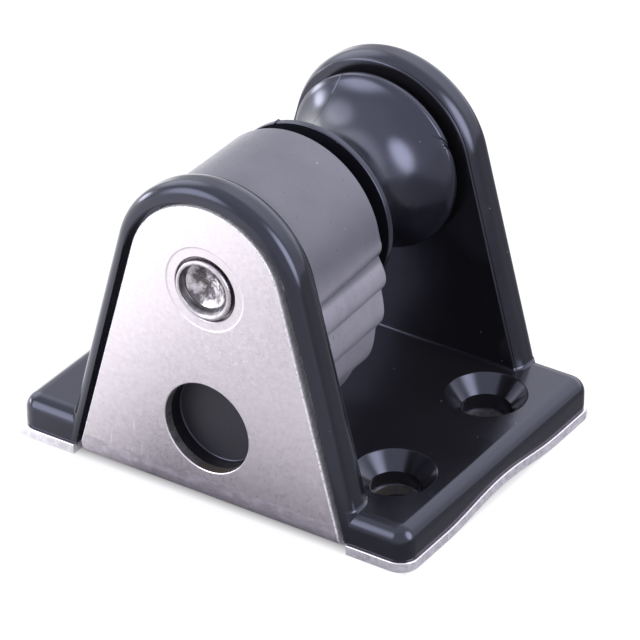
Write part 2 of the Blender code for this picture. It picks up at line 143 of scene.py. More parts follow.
def combine(item, tool, operation):
    """Join or cut an object with a tool, keep the result as its mesh and remove the tool."""
    modifier = item.modifiers.new(operation.lower(), "BOOLEAN")
    modifier.operation = operation
    modifier.solver = "EXACT"
    modifier.object = tool
    graph = bpy.context.evaluated_depsgraph_get()
    result = bpy.data.meshes.new_from_object(item.evaluated_get(graph))
    item.modifiers.clear()
    spent = item.data
    item.data = result
    result.name = item.name
    bpy.data.meshes.remove(spent)
    bpy.data.objects.remove(tool, do_unlink=True)


def cut(item, shape):
    """Cut an object with a bmesh."""
    combine(item, to_object("cutter", shape), "DIFFERENCE")


def move(shape, place):
    """Move all of a bmesh."""
    bmesh.ops.translate(shape, verts=shape.verts, vec=place)
    return shape


def slice_at(shape, axis, positions):
    """Cut extra rows of points across a shape at places along X, Y or Z."""
    normal = Vector([1.0 if name == axis else 0.0 for name in "XYZ"])
    for position in positions:
        bmesh.ops.bisect_plane(
            shape, geom=everything(shape), plane_co=normal * position, plane_no=normal, dist=0.0001 * MM,
        )


def finish_piece(item, materials, body, node, smooth_angle=SMOOTH_ANGLE):
    """Give a piece its finish, ride it on its body and let it stand for its CAD node."""
    for material in materials:
        if material.name not in item.data.materials:
            item.data.materials.append(material)
    item.data.shade_smooth()
    item.data.set_sharp_from_angle(angle=smooth_angle)
    weighted = item.modifiers.new("weighted normals", "WEIGHTED_NORMAL")
    weighted.keep_sharp = True
    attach(item, body)
    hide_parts(node)
    print(item.name, "has", len(item.data.polygons), "faces")


# %% [markdown]
# ## An arched plate
# The cheeks, the steel wings and the seats cut for them share one outline: two sloping edges that
# run into a round top about the axle. A point spun about the axle draws the round top, two foot
# points close the outline, and one extrusion gives it thickness. Rows sliced across the thickness
# can then be drawn in or out along the outline's own direction, which rounds the plate's edges.

# %% Build an arched plate
ARCH_STEPS = 72
WING_SLOPE = 0.271
CHEEK_SLOPE = 0.265


def half_width(radius, slope, drop, height):
    """Half-width at a height of an outline tangent to a circle that lies drop below the axle."""
    return radius * math.hypot(1, slope) + (axle_height - drop - height) * slope


def arched_plate(radius, slope, drop, foot, start, end):
    """A plate between two places along Y, with its foot at a height."""
    lean = math.atan(slope)
    shape = bmesh.new()
    center = Vector((0, start, axle_height - drop))
    first = shape.verts.new(center + radius * Vector((math.cos(lean), 0, math.sin(lean))))
    bmesh.ops.spin(
        shape, geom=[first], cent=center, axis=(0, -1, 0), angle=math.pi - 2 * lean,
        steps=ARCH_STEPS, use_merge=False, use_duplicate=False,
    )
    reach = half_width(radius, slope, drop, foot)
    shape.verts.ensure_lookup_table()
    arch = shape.verts[:]
    left = shape.verts.new((-reach, start, foot))
    right = shape.verts.new((reach, start, foot))
    face = shape.faces.new(arch + [left, right])
    grown = bmesh.ops.extrude_face_region(shape, geom=[face])
    moved = [part for part in grown["geom"] if isinstance(part, bmesh.types.BMVert)]
    bmesh.ops.translate(shape, verts=moved, vec=(0, end - start, 0))
    return shape


def draw_in(shape, radius, slope, drop, amount):
    """Move each point of a plate in along the outline's direction, by an amount asked for its place."""
    top = axle_height - drop
    lean = math.atan(slope)
    for vert in shape.verts:
        inset = amount(vert.co)
        turn = math.atan2(vert.co.z - top, abs(vert.co.x))
        if turn > lean - 0.001:
            vert.co -= inset * Vector((math.copysign(math.cos(turn), vert.co.x), 0, math.sin(turn)))
        else:
            vert.co.x -= math.copysign(inset * math.hypot(1, slope), vert.co.x)


def quarter(radius, steps):
    """Depths below a face at which a rounding of a radius gets its rows, and the inset at each."""
    rows = []
    for step in range(steps + 1):
        turn = math.radians(90 * (1 - step / steps))
        rows.append((radius * (1 - math.sin(turn)), radius * (1 - math.cos(turn))))
    return rows


def read_profile(rows, depth):
    """The inset at a depth, read off straight lines between a profile's rows."""
    for (low, low_value), (high, high_value) in zip(rows, rows[1:]):
        if depth <= high:
            share = (depth - low) / (high - low)
            return low_value + (high_value - low_value) * min(max(share, 0), 1)
    return rows[-1][1]


print("wing slope", WING_SLOPE, "cheek slope", CHEEK_SLOPE)

# %% [markdown]
# ## The moulded bed
# The bed is a slab with round corners and a generous rounding round its top, as a moulding needs to
# leave its tool. Its underside follows the bow that is pressed into the steel floor, so the slab is
# sliced across and the lower points are lifted by one smooth wave.

# %% Model the bed
SHEET = 1.6 * MM
TOUCH = 0.08 * MM
BASE_TOP = 6.6 * MM
CORNER_RADIUS = 3.0 * MM
BASE_INSET = 0.4 * MM
BED_ROUNDING = 2.4 * MM
BOW_RISE = 1.3 * MM
BEARING_STRIP = 10.25 * MM
BOW_ROWS = 40

bow_half = base_width / 2 - BEARING_STRIP


def bow(across):
    """Rise of the floor at a distance from its middle line."""
    if abs(across) >= bow_half:
        return 0.0
    return BOW_RISE * 0.5 * (1 + math.cos(math.pi * across / bow_half))


def slab(length, width, low, high, corner, corner_steps=10):
    """A flat block centred on the origin, with four round upright corners."""
    shape = bmesh.new()
    bmesh.ops.create_cube(shape, size=1)
    bmesh.ops.scale(shape, vec=(length, width, high - low), verts=shape.verts)
    move(shape, (0, 0, (low + high) / 2))
    upright = [edge for edge in shape.edges if abs(edge.verts[0].co.z - edge.verts[1].co.z) > MM / 2]
    bmesh.ops.bevel(
        shape, geom=upright, offset=corner, offset_type="OFFSET", segments=corner_steps,
        profile=0.5, affect="EDGES", material=-1,
    )
    return shape


def round_rim(shape, height, radius, steps):
    """Round every edge that lies wholly at a height."""
    rim = [edge for edge in shape.edges if all(abs(vert.co.z - height) < 0.01 * MM for vert in edge.verts)]
    bmesh.ops.bevel(
        shape, geom=rim, offset=radius, offset_type="OFFSET", segments=steps,
        profile=0.5, affect="EDGES", material=-1, clamp_overlap=True,
    )


def bow_rows():
    """Places across the floor where the bow needs a row of points."""
    return [bow_half * (2 * row / BOW_ROWS - 1) for row in range(BOW_ROWS + 1)]


bed_floor = SHEET + TOUCH
bed = slab(
    base_length - 2 * BASE_INSET, base_width - 2 * BASE_INSET, bed_floor, BASE_TOP, CORNER_RADIUS - BASE_INSET,
)
round_rim(bed, BASE_TOP, BED_ROUNDING, 8)
slice_at(bed, "Y", bow_rows())
for vert in bed.verts:
    if vert.co.z < bed_floor + 0.01 * MM:
        vert.co.z += bow(vert.co.y)
body = to_object("moulded_body", bed)
print("bed", round((BASE_TOP - bed_floor) / MM, 2), "mm thick at its edge")

# %% [markdown]
# ## The two cheeks
# Each cheek is an arched plate. Its outer edge has a broad rounding, its inner edge a softer one that
# ends in the fine groove and ridge a mould's parting line leaves. At the bed the foot spreads into a small
# fillet. The rows for all this are sliced first, then drawn in.

# %% Model a cheek
CHEEK_RADIUS = 16.0 * MM
CHEEK_INNER = 20.05 * MM
LIP_SINK = 0.2 * MM
OUTER_ROUNDING = 1.9 * MM
INNER_SOFTENING = 1.9 * MM
SOFTENING_TURN = math.radians(38)
PARTING_RIM = 0.42 * MM
FOOT_FILLET = 0.45 * MM

cheek_outer = base_width / 2 - LIP_SINK
cheek_depth = cheek_outer - CHEEK_INNER


def cheek_profile():
    """How far the cheek's edge is drawn in, at each depth below its outer face."""
    rows = quarter(OUTER_ROUNDING, 9)
    sweep = INNER_SOFTENING / math.sin(SOFTENING_TURN)
    for step in range(9):
        turn = SOFTENING_TURN * step / 8
        depth = cheek_depth - PARTING_RIM - INNER_SOFTENING + sweep * math.sin(turn)
        rows.append((depth, sweep * (1 - math.cos(turn))))
    soft_end = rows[-1][1]
    rows.append((cheek_depth - PARTING_RIM + 0.07 * MM, soft_end + 0.20 * MM))
    rows.append((cheek_depth - PARTING_RIM + 0.16 * MM, soft_end + 0.05 * MM))
    rows.append((cheek_depth - 0.10 * MM, soft_end + 0.09 * MM))
    rows.append((cheek_depth, soft_end + 0.24 * MM))
    return rows


def spread_foot(shape, side):
    """Flare the cheek's foot outwards where it runs into the bed."""
    for vert in shape.verts:
        above = max(vert.co.z - BASE_TOP, 0)
        if above >= FOOT_FILLET:
            continue
        flare = FOOT_FILLET - math.sqrt(FOOT_FILLET ** 2 - (FOOT_FILLET - above) ** 2)
        fade = min(max((cheek_outer - abs(vert.co.y)) / BED_ROUNDING, 0), 1)
        vert.co.x += math.copysign(flare * fade, vert.co.x)
        if abs(vert.co.y) < CHEEK_INNER + 0.01 * MM:
            vert.co.y -= side * flare


def build_cheek(side):
    """One cheek, side -1 for the near one and 1 for the far one."""
    foot = bed_floor + 0.5 * MM
    rows = cheek_profile()
    shape = arched_plate(CHEEK_RADIUS, CHEEK_SLOPE, 0, foot, side * cheek_outer, side * CHEEK_INNER)
    slice_at(shape, "Y", [side * (cheek_outer - depth) for depth, _ in rows[1:-1]])
    slice_at(shape, "Z", [BASE_TOP + height for height, _ in quarter(FOOT_FILLET, 5)])
    draw_in(shape, CHEEK_RADIUS, CHEEK_SLOPE, 0, lambda place: read_profile(rows, cheek_outer - abs(place.y)))
    spread_foot(shape, side)
    return to_object("cheek", shape)


for side in (-1, 1):
    combine(body, build_cheek(side), "UNION")
print("cheek", round(cheek_depth / MM, 2), "mm thick, body now", len(body.data.polygons), "faces")

# %% [markdown]
# ## The folded wing
# A wing is an arched plate too, and below it the sheet turns 90 degrees into the floor. The plate's
# foot is opened and its rim spun about the fold's axis. The same shape, made a little larger, cuts
# the wing's seat in the moulding, so steel and plastic always match. A row sliced just above the fold
# marks how high the folding tool has wiped the sheet dull, and how far up a painted shade darkens it.

# %% Model a folded wing
WING_RADIUS = 12.85 * MM
BEND_RADIUS = 2.9 * MM
DIE_ROLL = 0.22 * MM
BURR = 0.07 * MM
FOLD_STEPS = 14
FOLD_TAIL = 0.6 * MM
WIPE_HEIGHT = 4.25 * MM

wing_face = base_width / 2
fold_line = wing_face - BEND_RADIUS


def folded_wing(side, radius, drop, inner, outer, profile, tail):
    """A wing between two places from the middle, with its fold and a tail under the floor's edge."""
    shape = arched_plate(radius, WING_SLOPE, drop, BEND_RADIUS, side * outer, side * inner)
    slice_at(shape, "Y", [side * (outer - depth) for depth, _ in profile[1:-1]])
    draw_in(shape, radius, WING_SLOPE, drop, lambda place: read_profile(profile, outer - abs(place.y)))
    slice_at(shape, "Z", [WIPE_HEIGHT])
    sole = [face for face in shape.faces if face.calc_center_median().z < BEND_RADIUS + 0.01 * MM]
    rim = list({edge for face in sole for edge in face.edges if sum(link in sole for link in edge.link_faces) == 1})
    bmesh.ops.delete(shape, geom=sole, context="FACES_ONLY")
    rim = [edge for edge in rim if edge.is_valid]
    loose = [edge for edge in shape.edges if not edge.link_faces]
    bmesh.ops.delete(shape, geom=loose, context="EDGES")
    turned = bmesh.ops.spin(
        shape, geom=rim, cent=(0, side * fold_line, BEND_RADIUS), axis=(side, 0, 0), angle=-math.pi / 2,
        steps=FOLD_STEPS, use_merge=False, use_duplicate=False,
    )
    last = [part for part in turned["geom_last"] if isinstance(part, bmesh.types.BMEdge)]
    grown = bmesh.ops.extrude_edge_only(shape, edges=last)
    points = [part for part in grown["geom"] if isinstance(part, bmesh.types.BMVert)]
    bmesh.ops.translate(shape, verts=points, vec=(0, -side * tail, 0))
    ends = [part for part in grown["geom"] if isinstance(part, bmesh.types.BMEdge) and part.is_boundary]
    bmesh.ops.holes_fill(shape, edges=ends, sides=0)
    return shape


print("fold line", round(fold_line / MM, 2), "mm from the middle")

# %% [markdown]
# ## Turned shapes
# Screws, rivets, bores and the roller are all round, so each is a profile spun once about an axis.
# The full turn merges its last ring with its first, and points that meet on the axis are welded.

# %% Spin a profile
TURN_STEPS = 96


def spun(profile, steps=TURN_STEPS):
    """Spin (along, radius) pairs about the Y axis at the origin."""
    shape = bmesh.new()
    ring = [shape.verts.new((radius, along, 0)) for along, radius in profile]
    edges = [shape.edges.new(pair) for pair in zip(ring, ring[1:])]
    if min(radius for _, radius in profile) > 0:
        edges.append(shape.edges.new((ring[-1], ring[0])))
    bmesh.ops.spin(
        shape, geom=ring + edges, axis=(0, 1, 0), cent=(0, 0, 0), angle=math.tau, steps=steps,
        use_merge=True, use_duplicate=False,
    )
    bmesh.ops.remove_doubles(shape, verts=shape.verts, dist=0.0005 * MM)
    return shape


def turned(profile, place, side=1):
    """Spin a profile about the axle's direction, mirrored for side -1, and move it to a place."""
    return move(spun([(side * along, radius) for along, radius in profile]), place)


def upright(profile, place):
    """Spin (height, radius) pairs about the vertical through a place."""
    shape = spun(profile)
    bmesh.ops.rotate(shape, verts=shape.verts, cent=(0, 0, 0), matrix=Matrix.Rotation(math.pi / 2, 3, "X"))
    return move(shape, place)


def rod(low, high, radius):
    """Profile of a plain round rod between two places."""
    return [(low, 0), (low, radius), (high, radius), (high, 0)]


def arc(center, radius, start, end, steps):
    """Points of an arc in degrees, both ends included, as (along, radius) pairs."""
    turns = [math.radians(start + (end - start) * step / steps) for step in range(steps + 1)]
    return [(center[0] + radius * math.cos(turn), center[1] + radius * math.sin(turn)) for turn in turns]


print("a full turn has", TURN_STEPS, "steps")

# %% [markdown]
# ## Seats, pockets and screw holes in the moulding
# The seat leaves a gap beside the wing's sloping edges, and its rim is eased so that it catches a
# thin line of light. Behind the wing's round hole the moulding has a blind pocket. The screw holes
# are countersunk, with the slightly rolled rim that a moulded countersink has.

# %% Cut the moulding
SEAT_TOP_GAP = 0.3 * MM
SEAT_SIDE_GAP = 1.15 * MM
LIP_EASE = 0.3 * MM
PAST = 4 * MM
HOLE_RADIUS = 7.15 * MM
HOLE_HEIGHT = 12.85 * MM
POCKET_FLOOR = 3.8 * MM
POCKET_SPARE = 0.05 * MM
POCKET_FILLET = 0.28 * MM
SCREW_X = 23.4 * MM
SCREW_Y = 12.4 * MM
SCREW_RADIUS = 3.75 * MM
SINK_RADIUS = 6.1 * MM
SINK_EASE = 0.25 * MM
BORE_RADIUS = 3.75 * MM

seat_drop = (SEAT_SIDE_GAP - SEAT_TOP_GAP) / (1 - math.sin(math.atan(WING_SLOPE)))
seat_radius = WING_RADIUS + SEAT_TOP_GAP + seat_drop
seat_floor = wing_face - SHEET - TOUCH
hole_place = (0, 0, HOLE_HEIGHT)
screw_places = [(x, y, 0) for x in (-SCREW_X, SCREW_X) for y in (-SCREW_Y, SCREW_Y)]


def seat_cutter(side):
    """The wing's shape made larger, flared where it leaves the lip."""
    rows = [(0, -LIP_EASE), (PAST + LIP_SINK, -LIP_EASE)]
    rows += [(PAST + LIP_SINK + depth, -inset) for depth, inset in quarter(LIP_EASE, 5)[1:]]
    rows.append((wing_face + PAST - seat_floor, 0))
    return folded_wing(side, seat_radius, seat_drop, seat_floor, wing_face + PAST, rows, PAST)


def blind_pocket():
    """Profile of a round blind pocket with a filleted floor."""
    floor = wing_face - POCKET_FLOOR
    radius = HOLE_RADIUS + POCKET_SPARE
    rows = [(floor, 0)]
    for x, y in arc((0, 0), POCKET_FILLET, 90, 0, 6):
        rows.append((floor + POCKET_FILLET - y, radius - POCKET_FILLET + x))
    return rows + [(wing_face + PAST, radius), (wing_face + PAST, 0)]


def countersink():
    """Profile of a countersunk hole with an eased rim."""
    shaft_end = BASE_TOP - (SINK_RADIUS - SCREW_RADIUS)
    rows = [(-PAST, 0), (-PAST, SCREW_RADIUS), (shaft_end, SCREW_RADIUS)]
    rim_center = (SINK_RADIUS + SINK_EASE * (math.sqrt(2) - 1), BASE_TOP - SINK_EASE)
    rows += [(height, radius) for radius, height in arc(rim_center, SINK_EASE, 135, 98, 5)]
    return rows + [(BASE_TOP + PAST, rows[-1][1] + PAST / 10), (BASE_TOP + PAST, 0)]


def bore(radius):
    """A round cutter along the axle, through everything."""
    return turned(rod(-base_width, base_width, radius), axle)


for side in (-1, 1):
    cut(body, seat_cutter(side))
    cut(body, turned(blind_pocket(), hole_place, side))
for place in screw_places:
    cut(body, upright(countersink(), place))
cut(body, bore(BORE_RADIUS))
print("body cut,", len(body.data.polygons), "faces")

# %% [markdown]
# ## The sheet floor
# The floor is a slab of sheet, bowed up in the middle, with its corners rounded to match the bed.
# Beside each fold the blank is notched, so that the sheet can turn without tearing. The notch has
# a round inner corner, as a punch leaves.

# %% Model the sheet floor
SHEET_SOFTENING = 0.16 * MM
NOTCH_WIDTH = 1.45 * MM
NOTCH_ROUND = 0.5 * MM
SCREW_STEEL_RADIUS = 3.5 * MM

floor_sheet = slab(base_length, base_width, 0, SHEET, CORNER_RADIUS, 12)
round_rim(floor_sheet, 0, SHEET_SOFTENING, 3)
round_rim(floor_sheet, SHEET, SHEET_SOFTENING, 3)
slice_at(floor_sheet, "Y", bow_rows())
for vert in floor_sheet.verts:
    vert.co.z += bow(vert.co.y)
cradle = to_object("folded_cradle", floor_sheet)

fold_half = half_width(WING_RADIUS, WING_SLOPE, 0, BEND_RADIUS)
notch_half = fold_half + NOTCH_WIDTH
for side in (-1, 1):
    notch = slab(2 * notch_half, 2 * PAST, -PAST, PAST, NOTCH_ROUND, 6)
    cut(cradle, move(notch, (0, side * (fold_line + PAST), 0)))
print("notches start", round(notch_half / MM, 2), "mm from the middle")

# %% [markdown]
# ## Wings, their holes and the coined rings
# The press that cuts a blank rolls one edge of it softly over and leaves a fine burr on the other,
# so each wing gets a larger rounding outside than inside. Round the rivet the tool has coined a
# shallow ring. The round hole low on each wing only saves weight.

# %% Add the wings and cut their holes
COIN_RADIUS = 6.7 * MM
COIN_DEPTH = 0.09 * MM
COIN_WALL = 0.36 * MM
HOLE_EASE = 0.24 * MM
AXLE_RADIUS = 3.6 * MM
HEAD_RELIEF = 0.42 * MM
HEAD_RELIEF_DEPTH = 0.80 * MM
RELIEF_FLARE = (0.1 * MM, 0.2 * MM)

past_wing = wing_face + PAST


def wing_edges():
    """Rounding of a wing's outline, from its outer face to its inner one."""
    rows = quarter(DIE_ROLL, 4)
    rows += [(SHEET - share * BURR, -drawn * BURR) for share, drawn in ((2.5, 0), (1.5, 1), (0.5, 1), (0, 0))]
    return rows


def punched_hole():
    """Profile of the wing's round hole, eased where it leaves the outer face."""
    rows = [(wing_face - PAST, 0), (wing_face - PAST, HOLE_RADIUS)]
    rows += [(wing_face - depth, HOLE_RADIUS + inset) for depth, inset in quarter(HOLE_EASE, 5)[::-1]]
    return rows + [(past_wing, HOLE_RADIUS + HOLE_EASE), (past_wing, 0)]


def coined_ring():
    """Profile of the shallow ring pressed in round the rivet, with a soft wall."""
    low = wing_face - COIN_DEPTH
    foot = COIN_RADIUS - COIN_WALL
    rows = [(low, 0), (low, foot), (low + COIN_DEPTH / 3, foot + 2 * COIN_WALL / 3)]
    return rows + [(wing_face, COIN_RADIUS), (past_wing, COIN_RADIUS + COIN_WALL), (past_wing, 0)]


def head_relief():
    """Profile of the narrow gap that riveting leaves round the head."""
    low = wing_face - HEAD_RELIEF_DEPTH
    radius = head_radius + HEAD_RELIEF
    depth, flare = RELIEF_FLARE
    rows = [(low, 0), (low, radius), (wing_face - COIN_DEPTH - depth, radius)]
    return rows + [(wing_face, radius + flare), (past_wing, radius + PAST), (past_wing, 0)]


for side in (-1, 1):
    wing = folded_wing(side, WING_RADIUS, 0, wing_face - SHEET, wing_face, wing_edges(), FOLD_TAIL)
    combine(cradle, to_object("wing", wing), "UNION")
    cut(cradle, turned(punched_hole(), hole_place, side))
    cut(cradle, turned(coined_ring(), axle, side))
    cut(cradle, turned(head_relief(), axle, side))
cut(cradle, bore(BORE_RADIUS))
for place in screw_places:
    cut(cradle, upright(rod(-PAST, PAST, SCREW_STEEL_RADIUS), place))
print("cradle has", len(cradle.data.polygons), "faces")

# %% [markdown]
# ## The riveted axle
# Each end of the axle was drilled hollow and spread over the wing. What is left is a low collar with
# a rounded crown, round a bore whose bottom shows the torn metal of the riveting. A turned profile
# gives the collar, and seeded noise moves the points of the bottom.

# %% Model the axle
HEAD_PROUD = 0.5 * MM
HEAD_OUTER_ROUND = 0.32 * MM
HEAD_INNER_ROUND = 0.22 * MM
DIMPLE_RADIUS = 4.0 * MM
DIMPLE_WALL = 1.25 * MM
BOWL_RADIUS = 3.6 * MM
BOWL_DEPTH = 1.25 * MM
BOWL_RINGS = 22
CRUMPLE = 0.20 * MM
DRILL_DRIFT = Vector((-0.32 * MM, 0, 0.30 * MM))

head_face = wing_face + HEAD_PROUD


def head_profile():
    """Half of the axle's profile, from under a head to the middle of its dimple."""
    seat = wing_face - HEAD_RELIEF_DEPTH + 0.02 * MM
    rows = [(seat, AXLE_RADIUS), (seat, head_radius)]
    outer = (head_face - HEAD_OUTER_ROUND, head_radius - HEAD_OUTER_ROUND)
    rows += arc(outer, HEAD_OUTER_ROUND, 90, 0, 6)
    inner = (head_face - HEAD_INNER_ROUND, DIMPLE_RADIUS + HEAD_INNER_ROUND)
    rows += arc(inner, HEAD_INNER_ROUND, 0, -80, 5)
    rows += [(head_face - DIMPLE_WALL * share, DIMPLE_RADIUS - 0.3 * MM * share) for share in (0.4, 0.7, 1)]
    for ring in range(BOWL_RINGS + 1):
        radius = BOWL_RADIUS * (1 - ring / BOWL_RINGS)
        sag = BOWL_DEPTH * (1 - (radius / BOWL_RADIUS) ** 2)
        rows.append((head_face - DIMPLE_WALL - 0.12 * MM - sag, radius))
    return rows


def tear_dimple(shape):
    """Crumple the bottom of both dimples and shift them a little off centre."""
    for vert in shape.verts:
        radius = math.hypot(vert.co.x, vert.co.z)
        below = head_face - abs(vert.co.y)
        if below > 4 * MM or radius > DIMPLE_RADIUS + HEAD_INNER_ROUND:
            continue
        if radius < BOWL_RADIUS + 0.01 * MM:
            place = vert.co / MM
            torn = noise.noise(place * 0.7) + 0.7 * noise.noise(place * 1.9 + Vector((7, 3, 5)))
            torn += 0.35 * noise.noise(place * 4.1)
            fade = min((BOWL_RADIUS * 1.04 - radius) / (0.5 * MM), 1)
            vert.co.y += math.copysign(CRUMPLE * torn * fade, vert.co.y)
        if below > 0.1 * MM:
            vert.co += DRILL_DRIFT * min((below - 0.1 * MM) / (0.3 * MM), 1)


half_axle = head_profile()
axle_shape = spun([(-along, radius) for along, radius in half_axle[::-1]] + half_axle)
tear_dimple(axle_shape)
axle_pin = to_object("riveted_axle", move(axle_shape, axle))
print("axle", round(2 * head_face / MM, 2), "mm over its heads")

# %% [markdown]
# ## The toothed cam
# The cam's face is a spiral about the axle, so its bite tightens as it turns. Four rounded teeth lie on
# it, with sharp creases between, and it ends in a round nose. One outline is worked out for each
# station across the width, because the creases lean a little, and the outlines are bridged.

# %% Draw the cam's outline
CAM_RADIUS = 14.5
FIRST_CREASE = 4.7
TOOTH_PITCH = 19.2
TOOTH_COUNT = 4
TOOTH_HEIGHT = 0.9
TOOTH_SKEW = 1.36
FIRST_CREST = -3.5
BLEND_FAR = -10.8
BLEND_NEAR = -25.0
TOOTH_SLANT = 2.5
NOSE_RADIUS = 2.4
NOSE_CLEARANCE = 0.7
NOSE_ANGLE = 82.0
NOSE_TURN_IN = 40.0
NOSE_MARGIN = 2.0
SWELL_CENTER = (-3.0, -12.5)
SWELL_RADIUS = 9.0
TOOTH_STEPS = 16

cam_width = (cam_high.y - cam_low.y) / MM
cam_reach = (axle_height - BASE_TOP) / MM


def spiral(angle):
    """Radius of the toothed face, in millimetres, at degrees below the axle's level."""
    past = angle - FIRST_CREASE
    return 14.3 + 0.0672 * past + 0.00145 * past * past


def shared_normal(low, low_radius, high, high_radius):
    """Heading in degrees of the line that touches two circles on their -X side."""
    rise = (high[0] - low[0], high[1] - low[1])
    heading = math.degrees(math.atan2(rise[1], rise[0])) - 360
    return heading + math.degrees(math.acos((low_radius - high_radius) / math.hypot(*rise)))


def toothed_face(station):
    """(angle, radius) pairs down the toothed face, station 0 at the far end and 1 at the near one."""
    shift = math.degrees(math.tan(math.radians(TOOTH_SLANT)) * cam_width * station / CAM_RADIUS)
    blend = BLEND_FAR + (BLEND_NEAR - BLEND_FAR) * station
    crest = FIRST_CREST + shift
    first = FIRST_CREASE + shift
    top = spiral(crest) + TOOTH_HEIGHT
    rows = []
    for step in range(TOOTH_STEPS + 1):
        share = step / TOOTH_STEPS
        rows.append((blend + (crest - blend) * share, CAM_RADIUS + (top - CAM_RADIUS) * share * share))
    for step in range(1, TOOTH_STEPS // 2):
        share = 2 * step / TOOTH_STEPS
        angle = crest + (first - crest) * share
        rows.append((angle, spiral(angle) + TOOTH_HEIGHT * math.cos(math.pi * share / 2)))
    nose_reach = cam_reach - NOSE_CLEARANCE - NOSE_RADIUS
    last = NOSE_ANGLE - math.degrees(NOSE_RADIUS / nose_reach) - NOSE_MARGIN
    for step in range(TOOTH_COUNT * TOOTH_STEPS):
        share = step % TOOTH_STEPS / TOOTH_STEPS
        angle = first + TOOTH_PITCH * step / TOOTH_STEPS
        if angle < last:
            rows.append((angle, spiral(angle) + TOOTH_HEIGHT * math.sin(math.pi * share ** TOOTH_SKEW)))
    return rows, blend


def cam_outline(station):
    """The whole outline at a station, as (x, z) pairs in millimetres about the axle."""
    rows, blend = toothed_face(station)
    points = [(r * math.cos(math.radians(-a)), r * math.sin(math.radians(-a))) for a, r in rows]
    reach = cam_reach - NOSE_CLEARANCE - NOSE_RADIUS
    turn = math.radians(-NOSE_ANGLE)
    nose = (reach * math.cos(turn), reach * math.sin(turn))
    lower = shared_normal(nose, NOSE_RADIUS, SWELL_CENTER, SWELL_RADIUS)
    upper = shared_normal(SWELL_CENTER, SWELL_RADIUS, (0, 0), CAM_RADIUS)
    points += arc(nose, NOSE_RADIUS, NOSE_TURN_IN - NOSE_ANGLE, lower, 20)
    points += arc(SWELL_CENTER, SWELL_RADIUS, lower, upper, 16)
    points += arc((0, 0), CAM_RADIUS, upper, -360 - blend, 90)[:-1]
    return points


print("outline has", len(cam_outline(0)), "points")

# %% [markdown]
# ## From outlines to the cam
# A few stations lie close together at both ends, each outline drawn in a little further, which rounds
# the two rims. The bore is cut last.

# %% Build the cam
CAM_RIM = 0.22
CAM_STATIONS = 14
CAM_BORE = 3.8 * MM


def drawn_in(points, amount):
    """An outline moved inwards along its own normals."""
    moved = []
    for index, (x, z) in enumerate(points):
        before = points[index - 1]
        after = points[(index + 1) % len(points)]
        along = Vector((after[0] - before[0], after[1] - before[1])).normalized()
        moved.append((x + along.y * -amount * turn_sign, z + along.x * amount * turn_sign))
    return moved


def cam_stations():
    """(distance from the far end, inset) of every station, in millimetres."""
    rows = quarter(CAM_RIM, 4)
    rows += [(cam_width * index / CAM_STATIONS, 0) for index in range(1, CAM_STATIONS)]
    rows += [(cam_width - depth, inset) for depth, inset in quarter(CAM_RIM, 4)[::-1]]
    return rows


outline = cam_outline(0)
area = sum(a[0] * b[1] - b[0] * a[1] for a, b in zip(outline, outline[1:] + outline[:1]))
turn_sign = 1 if area > 0 else -1
cam_shape = bmesh.new()
loops = []
for distance, inset in cam_stations():
    points = drawn_in(cam_outline(distance / cam_width), inset)
    y = cam_high.y - distance * MM
    ring = [cam_shape.verts.new((x * MM, y, axle_height + z * MM)) for x, z in points]
    loops.append([cam_shape.edges.new((ring[index - 1], ring[index])) for index in range(len(ring))])
for first, second in zip(loops, loops[1:]):
    bmesh.ops.bridge_loops(cam_shape, edges=first + second)
for loop in (loops[0], loops[-1]):
    bmesh.ops.holes_fill(cam_shape, edges=loop, sides=0)
cam = to_object("toothed_cam", cam_shape)
cut(cam, bore(CAM_BORE))
print("cam from", round(cam_low.y / MM, 2), "to", round(cam_high.y / MM, 2), "mm")

# %% [markdown]
# ## The grooved roller
# The free rope runs in the roller's groove. It is a turned shape with thin flanges, whose rims carry
# the fine edge that the mould leaves. Two mould halves meet in a seam along the groove, and a nub
# and a nick remain where the sprue was broken off.

# %% Model the roller
FLANGE_RIM = 1.1 * MM
WAIST_RADIUS = 9.0 * MM
NEAR_BOSS = 2.8 * MM
FAR_BOSS = 0.95 * MM
HUB_RADIUS = 7.5 * MM
FLANGE_DISH = 0.6 * MM
RIM_EASE = 0.18 * MM
ROLLER_BORE = 3.8 * MM
ROLLER_STEPS = 720
SEAM_TURN = 107.5
SEAM_LEAN = 5.45
SEAM_DEPTH = 0.13 * MM
NUB_TURN = 113.7
NUB_SPREAD = 1.6
NUB_HEIGHT = 0.28 * MM
NICK_TURN = 24.0
NICK_SPREAD = 4.2

near_rim = roller_low.y + NEAR_BOSS
far_rim = roller_high.y - FAR_BOSS


